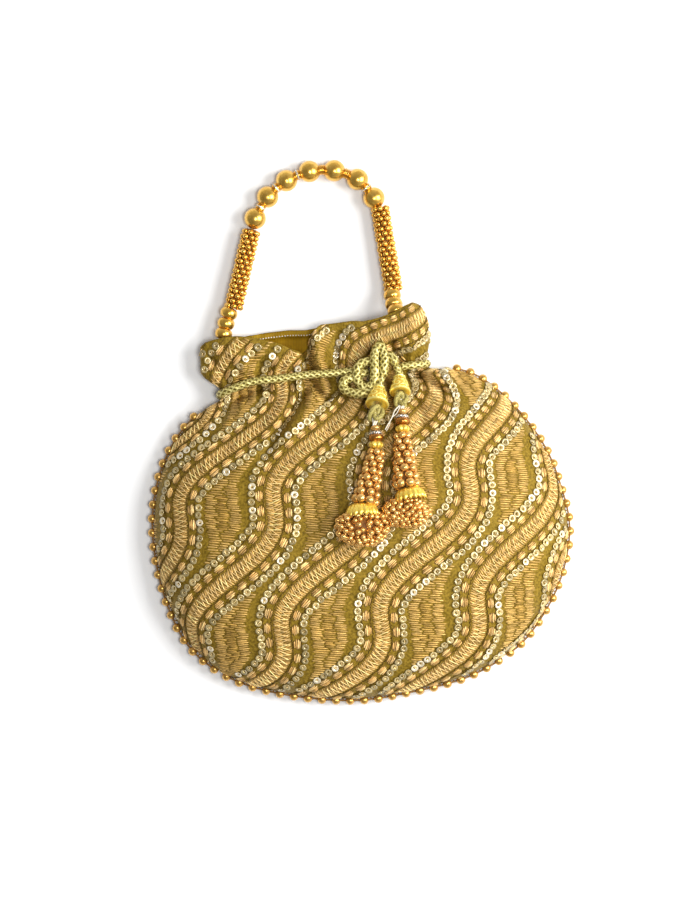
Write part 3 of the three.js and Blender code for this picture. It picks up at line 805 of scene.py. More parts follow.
def sew_on(name, stitches, face, side):
    _, points, flat, normals = cloth[face]
    row, column, off = find_on_cloth(flat, stitches["place"])
    inside = (off < 0.3) & (row > 0.8) & (row < len(flat) - 1.4)
    inside &= (column > 0.7) & (column < columns - 1.7)
    kept = {key: value[inside] for key, value in stitches.items()}
    count = len(kept["place"])
    along = np.stack([np.cos(kept["angle"]), np.sin(kept["angle"])], axis=-1)
    across = np.stack([-along[:, 1], along[:, 0]], axis=-1)
    half = (kept["length"] / 2)[:, None, None]
    wide = (kept["width"] / 2)[:, None, None]
    spots = (
        kept["place"][:, None]
        + along[:, None] * half * stitch_points[None, :, :1]
        + across[:, None] * wide * stitch_points[None, :, 1:2]
    ).reshape(-1, 2)
    row, column, off = find_on_cloth(flat, spots)
    lift = (kept["height"][:, None] * stitch_points[None, :, 2]).reshape(-1, 1) - 0.12
    normal = sample_grid(normals, row, column)
    normal /= np.maximum(np.linalg.norm(normal, axis=1), 1e-6)[:, None]
    places = sample_grid(points, row, column) + normal * lift
    whole = (off.reshape(count, -1).max(axis=1) < 0.6)
    places = places.reshape(count, -1, 3)[whole]
    count = len(places)
    faces = stitch_faces[None] + (np.arange(count) * len(stitch_points))[:, None, None]
    faces = faces.reshape(-1, 3)
    if side < 0:
        faces = faces[:, ::-1]
    mesh = bpy.data.meshes.new(name)
    mesh.from_pydata((places.reshape(-1, 3) / 1000).tolist(), [], faces.tolist())
    mesh.shade_smooth()
    colours = np.ones((count, len(stitch_points), 4), np.float32)
    # Painted shade: each stitch's colour darkens from its crown down to its edges, so the gaps between
    # stitches read dark.
    painted_gap_shade = 0.34 + 0.86 * stitch_points[None, :, 2:] ** 0.8
    colours[..., :3] = np.clip(kept["colour"][whole][:, None] * painted_gap_shade, 0, 1)
    layer = mesh.attributes.new("thread", "FLOAT_COLOR", "POINT")
    layer.data.foreach_set("color", colours.ravel())
    uv = np.zeros((count, len(stitch_points), 2), np.float32)
    uv[..., 0] = stitch_points[None, :, 1] * kept["width"][whole][:, None] / 2000
    uv[..., 1] = stitch_points[None, :, 0] * kept["length"][whole][:, None] / 2000
    uv += np.arange(count)[:, None, None] * 0.0137
    corners = np.zeros(len(mesh.loops), np.int32)
    mesh.loops.foreach_get("vertex_index", corners)
    mesh.uv_layers.new(name="UVMap").data.foreach_set("uv", uv.reshape(-1, 2)[corners].ravel())
    piece = bpy.data.objects.new(name, mesh)
    bpy.context.collection.objects.link(piece)
    return piece


def thread_look(name, roughness, metal):
    n = Nodes(name)
    # The thread attribute holds the dye times painted shade that darkens each stitch toward its edges.
    dye_and_gap_shade = n.add("ShaderNodeAttribute", attribute_name="thread")
    uv = n.add("ShaderNodeUVMap").outputs[0]
    fibre_map = n.add("ShaderNodeMapping", Vector=uv)
    fibre_map.inputs["Scale"].default_value = (5200, 420, 1)
    fibres = n.add("ShaderNodeTexNoise", Scale=1.0, Detail=2.0, Vector=fibre_map.outputs[0])
    shade = n.ramp(fibres.outputs[0], [(0.35, (0.60, 0.54, 0.40)), (0.65, (1.32, 1.24, 1.08))])
    colour = n.mix(1.0, dye_and_gap_shade.outputs["Color"], shade, "MULTIPLY")
    n.bump(fibres.outputs[0], 0.5, 0.0002)
    return n.set(
        Base_Color=colour, Roughness=roughness, Metallic=metal, Sheen_Weight=0.05,
        Sheen_Roughness=0.35, Sheen_Tint=dyed(240, 206, 130), Specular_Tint=dyed(255, 224, 150),
    )


silk_thread = thread_look("silk_thread", 0.34, 0.15)
groups = range(-5, 6)
with_front = []
with_back = []
for face, side, sewn in (("front", 1, with_front), ("back", -1, with_back)):
    layers = [
        ("leaves", [leaf_rows(g) for g in groups]),
        ("herringbone", sum((herringbone_rows(g) for g in groups), [])),
        ("chain", sum((chain_rows(g) for g in groups), [])),
        ("ovals", sum((pad_rows(g) for g in groups), [])),
    ]
    for layer_name, rows in layers:
        piece = sew_on(f"{face}_{layer_name}", gather_stitches(rows), face, side)
        piece.data.materials.append(silk_thread)
        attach(piece, "bag")
        sewn.append(piece)

# Ring sequins of clear champagne film run in two rows along every group. Each is a shallow cup
# with a hole, held down by a tack of thread, and no two lie quite the same way.
sequin_corners = 10
sequin_section = [(1.0, 0.62), (1.0, 0.95), (0.62, 0.52), (0.34, 0.42), (0.34, 0.12)]
sequin_angle = 2 * np.pi * np.arange(sequin_corners) / sequin_corners
sequin_points = np.array(
    [(r * np.cos(a), r * np.sin(a), h) for a in sequin_angle for r, h in sequin_section]
)
sequin_faces = []
section_size = len(sequin_section)
for k in range(sequin_corners):
    near = k * section_size
    far = ((k + 1) % sequin_corners) * section_size
    for j in range(section_size):
        nxt = (j + 1) % section_size
        sequin_faces.append((near + j, far + j, far + nxt, near + nxt))
sequin_faces = np.array(sequin_faces)


def champagne_film():
    n = Nodes("champagne_film")
    # The thread attribute holds each sequin's tone, with near white painted glints on a few.
    tone_and_glint = n.add("ShaderNodeAttribute", attribute_name="thread")
    coordinates = n.add("ShaderNodeTexCoord")
    haze = n.add("ShaderNodeTexNoise", Scale=1400.0, Detail=1.0)
    n.tree.links.new(coordinates.outputs["Object"], haze.inputs["Vector"])
    shade = n.ramp(haze.outputs[0], [(0.3, (0.78, 0.76, 0.7)), (0.7, (1.15, 1.15, 1.15))])
    colour = n.mix(1.0, tone_and_glint.outputs["Color"], shade, "MULTIPLY")
    n.bump(haze.outputs[0], 0.35, 0.0002)
    return n.set(
        Base_Color=colour, Roughness=0.2, Metallic=0.25, Coat_Weight=0.5, Coat_Roughness=0.12,
    )


champagne = champagne_film()
sequin_radius = 2.1
for face, side, sewn in (("front", 1, with_front), ("back", -1, with_back)):
    _, points, flat, normals = cloth[face]
    rows = [row_beside(g, d, 4.35, 0.25)[0] for g in groups for d in (-12.3, 12.3)]
    places = np.concatenate(rows)
    places = places + thread_luck.uniform(-0.35, 0.35, places.shape)
    row, column, off = find_on_cloth(flat, places)
    inside = (off < 0.3) & (row > 3) & (row < len(flat) - 4) & (column > 3) & (column < columns - 4)
    row, column = row[inside], column[inside]
    count = len(row)
    centre = sample_grid(points, row, column)
    normal = sample_grid(normals, row, column)
    luck = thread_luck.uniform(-1, 1, (count, 6))
    normal = normal + 0.16 * luck[:, :3]
    normal /= np.linalg.norm(normal, axis=1)[:, None]
    first = np.cross(normal, (0.1, 1.0, 0.2))
    first /= np.linalg.norm(first, axis=1)[:, None]
    second = np.cross(normal, first)
    size = sequin_radius * (1 + 0.06 * luck[:, 3])
    spots = (
        centre[:, None]
        + first[:, None] * (sequin_points[None, :, :1] * size[:, None, None])
        + second[:, None] * (sequin_points[None, :, 1:2] * size[:, None, None])
        + normal[:, None] * sequin_points[None, :, 2:]
    )
    faces = (sequin_faces[None] + (np.arange(count) * len(sequin_points))[:, None, None]).reshape(-1, 4)
    mesh = bpy.data.meshes.new(f"{face}_sequins")
    mesh.from_pydata((spots.reshape(-1, 3) / 1000).tolist(), [], faces.tolist())
    mesh.shade_smooth()
    colour = np.ones((count, len(sequin_points), 4), np.float32)
    # Painted highlight: about one sequin in ten is coloured near white as a painted glint.
    bright = np.where(luck[:, 4] > 0.8, 0.8, 0.0)[:, None]
    base = np.array(dyed(196, 176, 124)) * (1 + 0.35 * luck[:, 5:6])
    colour[..., :3] = np.clip(base * (1 - bright) + np.array(dyed(246, 234, 206)) * bright, 0, 1)[:, None]
    mesh.attributes.new("thread", "FLOAT_COLOR", "POINT").data.foreach_set("color", colour.ravel())
    piece = bpy.data.objects.new(f"{face}_sequins", mesh)
    bpy.context.collection.objects.link(piece)
    piece.data.materials.append(champagne)
    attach(piece, "bag")
    sewn.append(piece)

    held = np.concatenate(rows)[inside]
    tacks = stitch_rows(
        held, thread_luck.uniform(0, np.pi, count), 1.9, 0.55, 1.15, "tack"
    )
    piece = sew_on(f"{face}_tacks", tacks, face, side)
    piece.data.materials.append(silk_thread)
    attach(piece, "bag")
    sewn.append(piece)

# The lining is a sack of olive silk, sewn in at the mouth. A hem of the khaki silk is turned in
# over it, and held by a row of small white running stitches.
lining_step = 3
lining_rows = np.arange(3, len(cloth["front"][1]) - 2, lining_step)
lining_columns = np.arange(3, columns - 3, lining_step)


def nearby(level, pick):
    padded = np.pad(level, 2, mode="edge")
    shifts = [
        padded[a:a + level.shape[0], b:b + level.shape[1]] for a in range(5) for b in range(5)
    ]
    return pick(np.stack(shifts), axis=0)


front_points = cloth["front"][1]
back_points = cloth["back"][1]
low_back = nearby(back_points[..., 2], np.max) + 1.6
high_front = np.maximum(nearby(front_points[..., 2], np.min) - 1.7, low_back + 0.3)
sack = {}
for name, points, level in (("front", front_points, high_front), ("back", back_points, low_back)):
    part = points[np.ix_(lining_rows, lining_columns)].copy()
    part[..., 2] = level[np.ix_(lining_rows, lining_columns)]
    sack[name] = part
sack_rows, sack_columns = sack["front"].shape[:2]
for name in sack:
    joined = (sack["front"][..., 2] + sack["back"][..., 2]) / 2
    for edge in (np.s_[:, 0], np.s_[:, -1], np.s_[0, :]):
        sack[name][edge][..., 2] = joined[edge] + (0.12 if name == "front" else -0.12)
lining_points = np.concatenate([sack["back"].reshape(-1, 3), sack["front"].reshape(-1, 3)])
back_faces = np.array(grid_faces(sack_rows, sack_columns, 1))
front_faces = np.array(grid_faces(sack_rows, sack_columns, -1)) + sack_rows * sack_columns
index = np.arange(sack_rows * sack_columns).reshape(sack_rows, sack_columns)
edge_loop = np.concatenate([index[::-1, 0], index[0, 1:], index[1:, -1]])
joining = [
    (b, a, a + sack_rows * sack_columns, b + sack_rows * sack_columns)
    for a, b in zip(edge_loop, edge_loop[1:])
]
lining = new_piece(
    "lining_sack", lining_points / 1000,
    back_faces.tolist() + front_faces.tolist() + [tuple(int(v) for v in f) for f in joining],
    uv=lining_points[:, :2] / 1000,
)
thicken(lining, 0.0004)


def olive_silk(name, dark, middle, light):
    n = Nodes(name)
    uv = n.add("ShaderNodeUVMap").outputs[0]
    parts = n.add("ShaderNodeSeparateXYZ", Vector=uv)
    warp = n.math("SINE", n.math("MULTIPLY", parts.outputs[0], 2 * math.pi / 0.0009))
    drift = n.add("ShaderNodeTexNoise", Scale=70.0, Detail=5.0, Vector=uv)
    shade = n.math("MULTIPLY_ADD", warp, 0.07, drift.outputs[0])
    colour = n.ramp(shade, [(0.3, dark), (0.5, middle), (0.72, light)])
    n.bump(shade, 0.35, 0.0006)
    return n.set(
        Base_Color=colour, Roughness=0.55, Specular_Tint=dyed(255, 206, 100), Sheen_Weight=0.03,
        Sheen_Roughness=0.3, Sheen_Tint=dyed(220, 190, 110),
    )


lining.data.materials.append(
    olive_silk("olive_silk", dyed(108, 78, 8), dyed(144, 108, 14), dyed(172, 136, 26))
)
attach(lining, "bag")
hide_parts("lining")

hem_columns = np.arange(8, columns - 8)
hem_depths = np.linspace(0.25, 3.9, 5)
hem_lines = []
for depth in hem_depths:
    line = []
    for column in hem_columns:
        up = back_points[:, column, 1]
        row = np.interp(up[-1] - depth, up, np.arange(len(up)))
        spot = sample_grid(back_points, np.array([row]), np.array([float(column)]))[0]
        lift = 2.35 + 0.25 * math.sin(column / 3.0) + 0.2 * math.sin(column / 1.7 + depth)
        line.append((spot[0], spot[1], spot[2] + lift))
    hem_lines.append(line)
hem_points = np.array(hem_lines)
hem = new_piece(
    "turned_hem", hem_points.reshape(-1, 3) / 1000,
    grid_faces(len(hem_depths), len(hem_columns), -1), uv=hem_points[..., :2].reshape(-1, 2) / 1000,
)
thicken(hem, 0.0004)
hem.data.materials.append(
    olive_silk("hem_silk", dyed(100, 74, 10), dyed(140, 108, 22), dyed(176, 144, 44))
)
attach(hem, "bag")


def lay_stitches(name, centres, along, up, length, width, height):
    """Stitches that each lie at a point, along one way and standing up another, in millimetres."""
    along = along / np.linalg.norm(along, axis=1)[:, None]
    across = np.cross(up, along)
    across /= np.linalg.norm(across, axis=1)[:, None]
    spots = (
        centres[:, None]
        + along[:, None] * (stitch_points[None, :, :1] * length / 2)
        + across[:, None] * (stitch_points[None, :, 1:2] * width / 2)
        + up[:, None] * (stitch_points[None, :, 2:] * height)
    )
    count = len(centres)
    faces = (stitch_faces[None] + (np.arange(count) * len(stitch_points))[:, None, None]).reshape(-1, 3)
    return new_piece(name, spots.reshape(-1, 3) / 1000, faces.tolist())


run_line = hem_points[3]
run_gone = np.concatenate([[0], np.cumsum(np.linalg.norm(np.diff(run_line, axis=0), axis=1))])
run_at = np.arange(2.0, run_gone[-1] - 2.0, 1.55)
run_centres = np.stack([np.interp(run_at, run_gone, run_line[:, k]) for k in range(3)], axis=1)
run_centres[:, 2] += 0.05
running = lay_stitches(
    "running_stitches", run_centres, np.gradient(run_centres, axis=0),
    np.tile((0.0, 0.0, 1.0), (len(run_at), 1)), 1.0, 0.75, 0.55,
)


def plain_thread(name, dark, light, sheen=0.3):
    n = Nodes(name)
    coordinates = n.add("ShaderNodeTexCoord")
    fluff = n.add("ShaderNodeTexNoise", Scale=2600.0, Detail=2.0)
    n.tree.links.new(coordinates.outputs["Object"], fluff.inputs["Vector"])
    n.bump(fluff.outputs[0], 0.4, 0.0002)
    return n.set(
        Base_Color=n.ramp(fluff.outputs[0], [(0.35, dark), (0.65, light)]), Roughness=0.6,
        Sheen_Weight=sheen,
    )


white_thread = plain_thread("white_thread", dyed(206, 192, 164), dyed(248, 242, 228))
running.data.materials.append(white_thread)
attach(running, "bag")

# Small gold beads are sewn all round the seam, one by one on a thread that runs along the edge.
edge_route = [
    (-91, 11.4), (-103, -2.2), (-113.2, -23.4), (-117.4, -52), (-111.4, -89.6), (-98.1, -118.8),
    (-79.5, -135.2), (-53.2, -145.4), (-5, -150.9), (28.4, -146.1), (60.9, -137.3),
    (83.4, -124.4), (95.4, -113), (111.4, -85), (117.4, -54), (112.4, -30), (103, -7.2),
    (83.1, 18.2), (64.2, 32.3), (50, 36.6),
]


def turned(name, profile, segments):
    """A piece turned round its own Z axis from (radius, height) points in millimetres."""
    mesh = bpy.data.meshes.new(name)
    corners = [(r / 1000, 0, h / 1000) for r, h in profile]
    mesh.from_pydata(corners, [(k, k + 1) for k in range(len(corners) - 1)], [])
    piece = bpy.data.objects.new(name, mesh)
    bpy.context.collection.objects.link(piece)
    bpy.ops.object.select_all(action="DESELECT")
    bpy.context.view_layer.objects.active = piece
    piece.select_set(True)
    bpy.ops.object.mode_set(mode="EDIT")
    bpy.ops.mesh.select_all(action="SELECT")
    bpy.ops.mesh.spin(steps=segments, angle=2 * math.pi, center=(0, 0, 0), axis=(0, 0, 1))
    bpy.ops.mesh.select_all(action="SELECT")
    bpy.ops.mesh.remove_doubles(threshold=0.000002)
    bpy.ops.mesh.normals_make_consistent(inside=False)
    bpy.ops.object.mode_set(mode="OBJECT")
    bpy.ops.object.shade_smooth()
    piece.select_set(False)
    return piece


def bead_profile(width, length, steps, dimple=0.0):
    angles = np.linspace(0, np.pi, steps)
    profile = [[width / 2 * np.sin(a), -length / 2 * np.cos(a)] for a in angles]
    profile[0] = [0, -length / 2 + dimple]
    profile[-1] = [0, length / 2 - dimple]
    return profile


def strung_copies(name, pattern, places, ways, sizes):
    """One mesh of many copies of a bead, each at a place, turned to a way, and at a size."""
    count = len(pattern.data.vertices)
    shape = np.zeros(count * 3)
    pattern.data.vertices.foreach_get("co", shape)
    shape = shape.reshape(-1, 3)
    faces = [list(face.vertices) for face in pattern.data.polygons]
    ways = ways / np.linalg.norm(ways, axis=1)[:, None]
    helper = np.where(np.abs(ways[:, 2:]) > 0.9, (1.0, 0.0, 0.0), (0.0, 0.0, 1.0))
    first = np.cross(helper, ways)
    first /= np.linalg.norm(first, axis=1)[:, None]
    second = np.cross(ways, first)
    spots = places[:, None] / 1000 + sizes[:, None, None] * (
        first[:, None] * shape[None, :, :1]
        + second[:, None] * shape[None, :, 1:2]
        + ways[:, None] * shape[None, :, 2:]
    )
    all_faces = [[v + k * count for v in face] for k in range(len(places)) for face in faces]
    return new_piece(name, spots.reshape(-1, 3), all_faces)


def thread_tube(name, points_mm, diameter, sides=6, count=None):
    points = np.array(points_mm, float) / 1000
    count = count or max(6, len(points) * 6)
    centres = smooth_route(points, count)
    _, across, up = route_frames(centres)
    angle = 2 * np.pi * np.arange(sides) / sides
    rings = (
        centres[:, None]
        + across[:, None] * (diameter / 2000 * np.cos(angle))[None, :, None]
        + up[:, None] * (diameter / 2000 * np.sin(angle))[None, :, None]
    )
    index = np.arange(count * sides).reshape(count, sides)
    quads = np.stack(
        [index[:-1], np.roll(index[:-1], -1, 1), np.roll(index[1:], -1, 1), index[1:]], axis=-1
    ).reshape(-1, 4)
    faces = quads.tolist() + [index[0][::-1].tolist(), index[-1].tolist()]
    return new_piece(name, rings.reshape(-1, 3), faces)


def bead_gold(name, deep, middle, bright, roughness, metal, grain=900.0):
    n = Nodes(name)
    coordinates = n.add("ShaderNodeTexCoord")
    wear = n.add("ShaderNodeTexNoise", Scale=grain, Detail=3.0)
    n.tree.links.new(coordinates.outputs["Object"], wear.inputs["Vector"])
    n.bump(wear.outputs[0], 0.12, 0.0002)
    colour = n.ramp(wear.outputs[0], [(0.25, deep), (0.5, middle), (0.75, bright)])
    return n.set(
        Base_Color=colour, Roughness=roughness, Metallic=metal, Coat_Weight=0.35,
        Coat_Roughness=0.25,
    )


pearl_gold = bead_gold(
    "pearl_gold", dyed(176, 128, 52), dyed(206, 158, 74), dyed(226, 182, 100), 0.3, 0.8
)
edge_beads = 68
edge_bead = turned("edge_bead", bead_profile(5.3, 5.1, 11, 0.25), 18)
edge_line = smooth_route([(x, y, 0) for x, y in edge_route], 3000)
for name, start, end in (("left", 0, 0.31), ("bottom", 0.31, 0.62), ("right", 0.62, 1)):
    count = round(edge_beads * (end - start))
    at = (start + (end - start) * (np.arange(count) + 0.5) / count) * 2999
    places = np.stack([np.interp(at, np.arange(3000), edge_line[:, k]) for k in range(3)], axis=1)
    span = edge_line[int(at[0]) - 8:int(at[-1]) + 8:24].copy()
    for line in (places, span):
        line[:, 2] = 6 + 4 * smooth_step(above_neck(line[:, 0], line[:, 1]), -30, 0)
    ways = np.gradient(places, axis=0)
    luck = thread_luck.uniform(-1, 1, (count, 2))
    beads = strung_copies(
        f"edge_beads_{name}_gold", edge_bead, places, ways, 1 + 0.03 * luck[:, 0]
    )
    beads.data.materials.append(pearl_gold)
    inwards = np.stack([-ways[:, 1], ways[:, 0], 0 * ways[:, 0]], axis=-1)
    inwards /= np.linalg.norm(inwards, axis=1)[:, None]
    between = (places[1:] + places[:-1]) / 2
    ties = lay_stitches(
        "ties", between + inwards[1:] * 0.9, inwards[1:], np.tile((0.0, 0.0, 1.0), (count - 1, 1)),
        3.0, 0.8, 0.5,
    )
    thread = thread_tube("seam_thread", span, 1.0, 6, len(span) * 3)
    threads = join_pieces(f"edge_thread_{name}", [thread, ties])
    threads.data.materials.append(
        plain_thread(f"edge_thread_gold_{name}", dyed(104, 70, 20), dyed(160, 116, 48), 0.0)
    )
    for piece in (beads, threads):
        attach(piece, "bag")
    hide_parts(f"edge_beads_{name}")
bpy.data.objects.remove(edge_bead)

# The handle is a cord through large satin gold beads with cut glass rondelles and gold rings
# between them, two tubes woven of tiny gold beads, and three flattened beads at each end.
handle_route = [
    (-77.2, 55.2, 8.6), (-74.4, 66.5, 8.2), (-71.8, 71.6, 8), (-61.2, 114.8, 6.9),
    (-59.5, 120.3, 6.6), (-52.6, 132.2, 6.3), (-41.9, 141.5, 6.1), (-28.7, 146.7, 6.05),
    (-14.7, 147, 6.05), (-1.5, 141.8, 6.1), (7.5, 131.2, 6.2), (9.6, 124.5, 6.4),
    (14.3, 104.1, 7), (17, 81.4, 7.8), (17.5, 77, 9.2), (18.3, 71.9, 12.6), (19.6, 67.6, 16.6),
]


class Route:
    """A curve to string pieces on, in millimetres, read by the distance along it."""

    def __init__(self, points):
        self.line = smooth_route(points, 2000)
        self.length = np.linalg.norm(np.diff(self.line, axis=0), axis=1).sum()

    def at(self, distance):
        place = np.clip(np.asarray(distance, float) / self.length, 0, 1) * 1999
        return np.stack([np.interp(place, np.arange(2000), self.line[:, k]) for k in range(3)], axis=-1)

    def way(self, distance):
        step = self.at(np.asarray(distance) + 0.4) - self.at(np.asarray(distance) - 0.4)
        return step / np.linalg.norm(step, axis=-1, keepdims=True)


def seat(piece, place, way):
    turn = Vector((0, 0, 1)).rotation_difference(Vector(way)).to_matrix().to_4x4()
    piece.data.transform(Matrix.Translation(Vector(place) / 1000) @ turn)
    return piece


def copied(piece, name):
    copy = piece.copy()
    copy.data = piece.data.copy()
    copy.name = name
    copy.data.name = name
    bpy.context.collection.objects.link(copy)
    return copy


def fix(piece, material, body, slot, *nodes):
    piece.data.materials.clear()
    piece.data.materials.append(material)
    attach(piece, body)
    if nodes:
        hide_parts(*nodes)


handle_line = Route(handle_route)
satin_gold = bead_gold(
    "satin_gold", dyed(204, 154, 52), dyed(222, 174, 72), dyed(236, 192, 96), 0.26, 0.9, 500.0
)
ring_gold = bead_gold(
    "ring_gold", dyed(204, 146, 44), dyed(226, 168, 62), dyed(246, 204, 104), 0.24, 0.88
)
seed_gold = bead_gold(
    "seed_gold", dyed(212, 152, 48), dyed(230, 174, 66), dyed(248, 208, 108), 0.2, 0.88, 400.0
)


def cut_glass():
    n = Nodes("cut_glass")
    coordinates = n.add("ShaderNodeTexCoord")
    painted_sparkle = n.add("ShaderNodeTexVoronoi", Scale=1500.0)
    n.tree.links.new(coordinates.outputs["Object"], painted_sparkle.inputs["Vector"])
    # Painted reflection and painted highlight: the clear glass is coloured in cells from brown to near white
    # glints.
    colour = n.ramp(painted_sparkle.outputs["Color"], [(0.2, dyed(150, 118, 70)), (0.8, dyed(255, 250, 238))])
    n.bump(painted_sparkle.outputs["Distance"], 0.4, 0.0003)
    return n.set(Base_Color=colour, Roughness=0.06, Metallic=0.4, Coat_Weight=1.0)


crystal = cut_glass()
first_bead = 67.5
bead_pitch = 14.05
big_bead_count = 7


def on_handle(piece, distance):
    return seat(piece, handle_line.at(distance), handle_line.way(distance))


big_bead = turned("big_bead", bead_profile(12.3, 12.2, 25, 0.7), 36)
for k in range(big_bead_count):
    bead = on_handle(copied(big_bead, f"handle_bead_{k + 1}_gold"), first_bead + k * bead_pitch)
    fix(bead, satin_gold, "handle", "satin_gold", f"handle_bead_{k + 1}")
bpy.data.objects.remove(big_bead)


def stacked_rings(name, count, pitch, width):
    profile = [(0, -count * pitch / 2)]
    for k in range(count):
        middle = (k - (count - 1) / 2) * pitch
        profile += [
            (width / 2 - 0.7, middle - pitch * 0.48), (width / 2 - 0.15, middle - pitch * 0.3),
            (width / 2, middle), (width / 2 - 0.15, middle + pitch * 0.3),
            (width / 2 - 0.7, middle + pitch * 0.48),
        ]
    return turned(name, profile + [(0, count * pitch / 2)], 24)


gold_rings = stacked_rings("gold_rings", 3, 1.05, 6.1)
rim_rings = stacked_rings("rim_rings", 2, 1.5, 5.6)
glass_profile = [(0, -0.8), (2.2, -0.8), (3.15, -0.3), (3.15, 0.3), (2.2, 0.8), (0, 0.8)]
glass_rondelle = turned("glass_rondelle", glass_profile, 12)
spacer_kinds = [glass_rondelle] * 3 + [gold_rings] * 2 + [glass_rondelle]
for k, kind in enumerate(spacer_kinds):
    distance = first_bead + (k + 0.5) * bead_pitch
    spacer = on_handle(copied(kind, f"handle_spacer_{k + 1}_cut"), distance)
    if kind is glass_rondelle:
        spacer.data.shade_flat()
        fix(spacer, crystal, "handle", "crystal", f"handle_spacer_{k + 1}")
        rims = on_handle(copied(rim_rings, f"handle_spacer_{k + 1}_rims"), distance)
        fix(rims, ring_gold, "handle", "gold_ring")
    else:
        fix(spacer, ring_gold, "handle", "gold_ring", f"handle_spacer_{k + 1}")
bpy.data.objects.remove(gold_rings)
bpy.data.objects.remove(rim_rings)
bpy.data.objects.remove(glass_rondelle)

end_profile = [
    (0, -2.8), (2.4, -3.1), (3.6, -2.85), (4.45, -2.05), (4.85, -0.95), (4.95, 0), (4.85, 0.95),
    (4.45, 2.05), (3.6, 2.85), (2.4, 3.1), (0, 2.8),
]
end_bead = turned("end_bead", end_profile, 32)
end_bead_pitch = 6.0
end_reach = 15.0
for side in ("left", "right"):
    for k in range(3):
        along = end_bead_pitch * k
        distance = along if side == "left" else handle_line.length - along
        bead = on_handle(copied(end_bead, f"end_bead_{side}_{k + 1}_gold"), distance)
        fix(bead, satin_gold, "handle", "satin_gold", f"end_bead_{side}_{k + 1}")
bpy.data.objects.remove(end_bead)

bpy.ops.mesh.primitive_uv_sphere_add(segments=8, ring_count=6, radius=0.001, location=(0, 0, 0))
seed_bead = bpy.context.active_object
seed_bead.name = "seed_bead"
seed_bead.select_set(False)


def woven_beads(name, place, way, length, widths, bead_widths, twist=0.0):
    """Beads in staggered rings round an axis, from one width to another."""
    way = np.array(way)
    first = np.cross(way, (0.0, 0.0, 1.0))
    first /= np.linalg.norm(first)
    second = np.cross(way, first)
    places = []
    ways = []
    sizes = []
    along = -length / 2 + bead_widths[0] / 2
    ring = 0
    while along < length / 2 - bead_widths[1] / 2 + 1.4:
        share = np.clip((along + length / 2) / length, 0, 1)
        width = widths[0] + (widths[1] - widths[0]) * share
        bead_width = bead_widths[0] + (bead_widths[1] - bead_widths[0]) * share
        radius = (width - bead_width) / 2
        around = max(5, int(2 * np.pi * radius / (bead_width * 0.98)))
        for k in range(around):
            luck = thread_luck.uniform(-1, 1, 4)
            angle = 2 * np.pi * (k + 0.5 * (ring % 2)) / around + twist * along + 0.05 * luck[0]
            out = first * np.cos(angle) + second * np.sin(angle)
            places.append(place + way * (along + 0.12 * luck[1]) + out * (radius + 0.1 * luck[2]))
            ways.append(np.cross(out, way))
            sizes.append(bead_width / 2 * (1 + 0.05 * luck[3]))
        along += bead_width * 0.86
        ring += 1
    return strung_copies(name, seed_bead, np.array(places), np.array(ways), np.array(sizes))


core_thread = plain_thread("core_thread", dyed(104, 62, 12), dyed(150, 98, 28), 0.0)
last_bead = first_bead + (big_bead_count - 1) * bead_pitch
bead_reach = 5.3
tube_width = 11.2
tube_bead = 3.3
tube_spans = {
    "left": (end_reach - 0.1, first_bead - bead_reach),
    "right": (last_bead + bead_reach, handle_line.length - end_reach + 0.1),
}
for side, (start, end) in tube_spans.items():
    middle = (start + end) / 2
    place, way = handle_line.at(middle), handle_line.way(middle)
    beads = woven_beads(
        f"woven_tube_{side}_beads", place, way, end - start, (tube_width, tube_width),
        (tube_bead, tube_bead), 0.03,
    )
    fix(beads, seed_gold, "handle", "seed_gold", f"woven_tube_{side}")
    half = (end - start) / 2 - 0.8
    core_profile = [(0, -half), (3.0, -half + 0.4), (3.1, 0), (3.0, half - 0.4), (0, half)]
    core = turned(f"woven_tube_{side}_core", core_profile, 12)
    seat(core, place, way)
    fix(core, core_thread, "handle", "thread")

# A tassel hangs from each end of the bow: a filigree cone, a knot of its cord, a small bead, a
# rondelle of white stones, a flat ring, a fluted bead, a tube woven of gold beads that widens
# downwards, and a fluted cap over a bunch of small beads.
tassels = {
    "left": {
        "route": [
            (10.4, 26, 27.4), (8.8, 14.6, 36), (7.8, 6, 39), (8.3, -3, 41.2), (8, -12, 43.2),
            (1.8, -39.7, 49.8), (-0.7, -46.8, 51.2), (-0.4, -52, 51.6),
        ],
        "cone": (8.2, 12.6, 11.8), "knot": (19.2, 7.8, 8.2), "ring": (27.6, 3.4, 5.5),
        "rondelle": (30.6, 1.6, 7), "flat": (33.2, 3.2, 8.4), "star": (37.2, 5.4, 8.2),
        "tube": (56.4, 31, 9.6, 16.0), "cap": (75.0, 6.8, 18.6), "cap_way": (0.06, -0.97, 0.12),
        "bunch": ((0.7, -52.6, 50.5), (15.2, 11.6, 8.5)),
    },
    "right": {
        "route": [
            (21.4, 32.2, 25), (21.8, 21.3, 32.9), (22.8, 12, 36.6), (23, 2.1, 39.6), (23.1, -3, 41.2),
            (25.6, -30.7, 49), (28, -37.4, 50.4), (27.6, -42, 50.6),
        ],
        "cone": (7.8, 11.4, 10.4), "knot": (17.4, 6.8, 7.6), "ring": (24.4, 3.4, 5.5),
        "rondelle": (27.4, 1.6, 7), "flat": (30.2, 3.2, 8.4), "star": (34.4, 5.4, 8.2),
        "tube": (53.4, 31, 9.2, 16.0), "cap": (72.0, 6.4, 17.6), "cap_way": (0.16, -0.96, 0.12),
        "bunch": ((24.9, -44.6, 49.8), (13.9, 9.2, 8.1)),
    },
}
cap_gold = bead_gold(
    "cap_gold", dyed(236, 184, 50), dyed(250, 212, 84), dyed(255, 232, 130), 0.32, 0.7, 1200.0
)
copper_gold = bead_gold(
    "copper_gold", dyed(208, 152, 72), dyed(224, 172, 92), dyed(242, 202, 128), 0.22, 0.74, 300.0
)
silver = bead_gold(
    "silver_setting", dyed(150, 146, 136), dyed(206, 204, 198), dyed(244, 244, 240), 0.15, 0.95
)


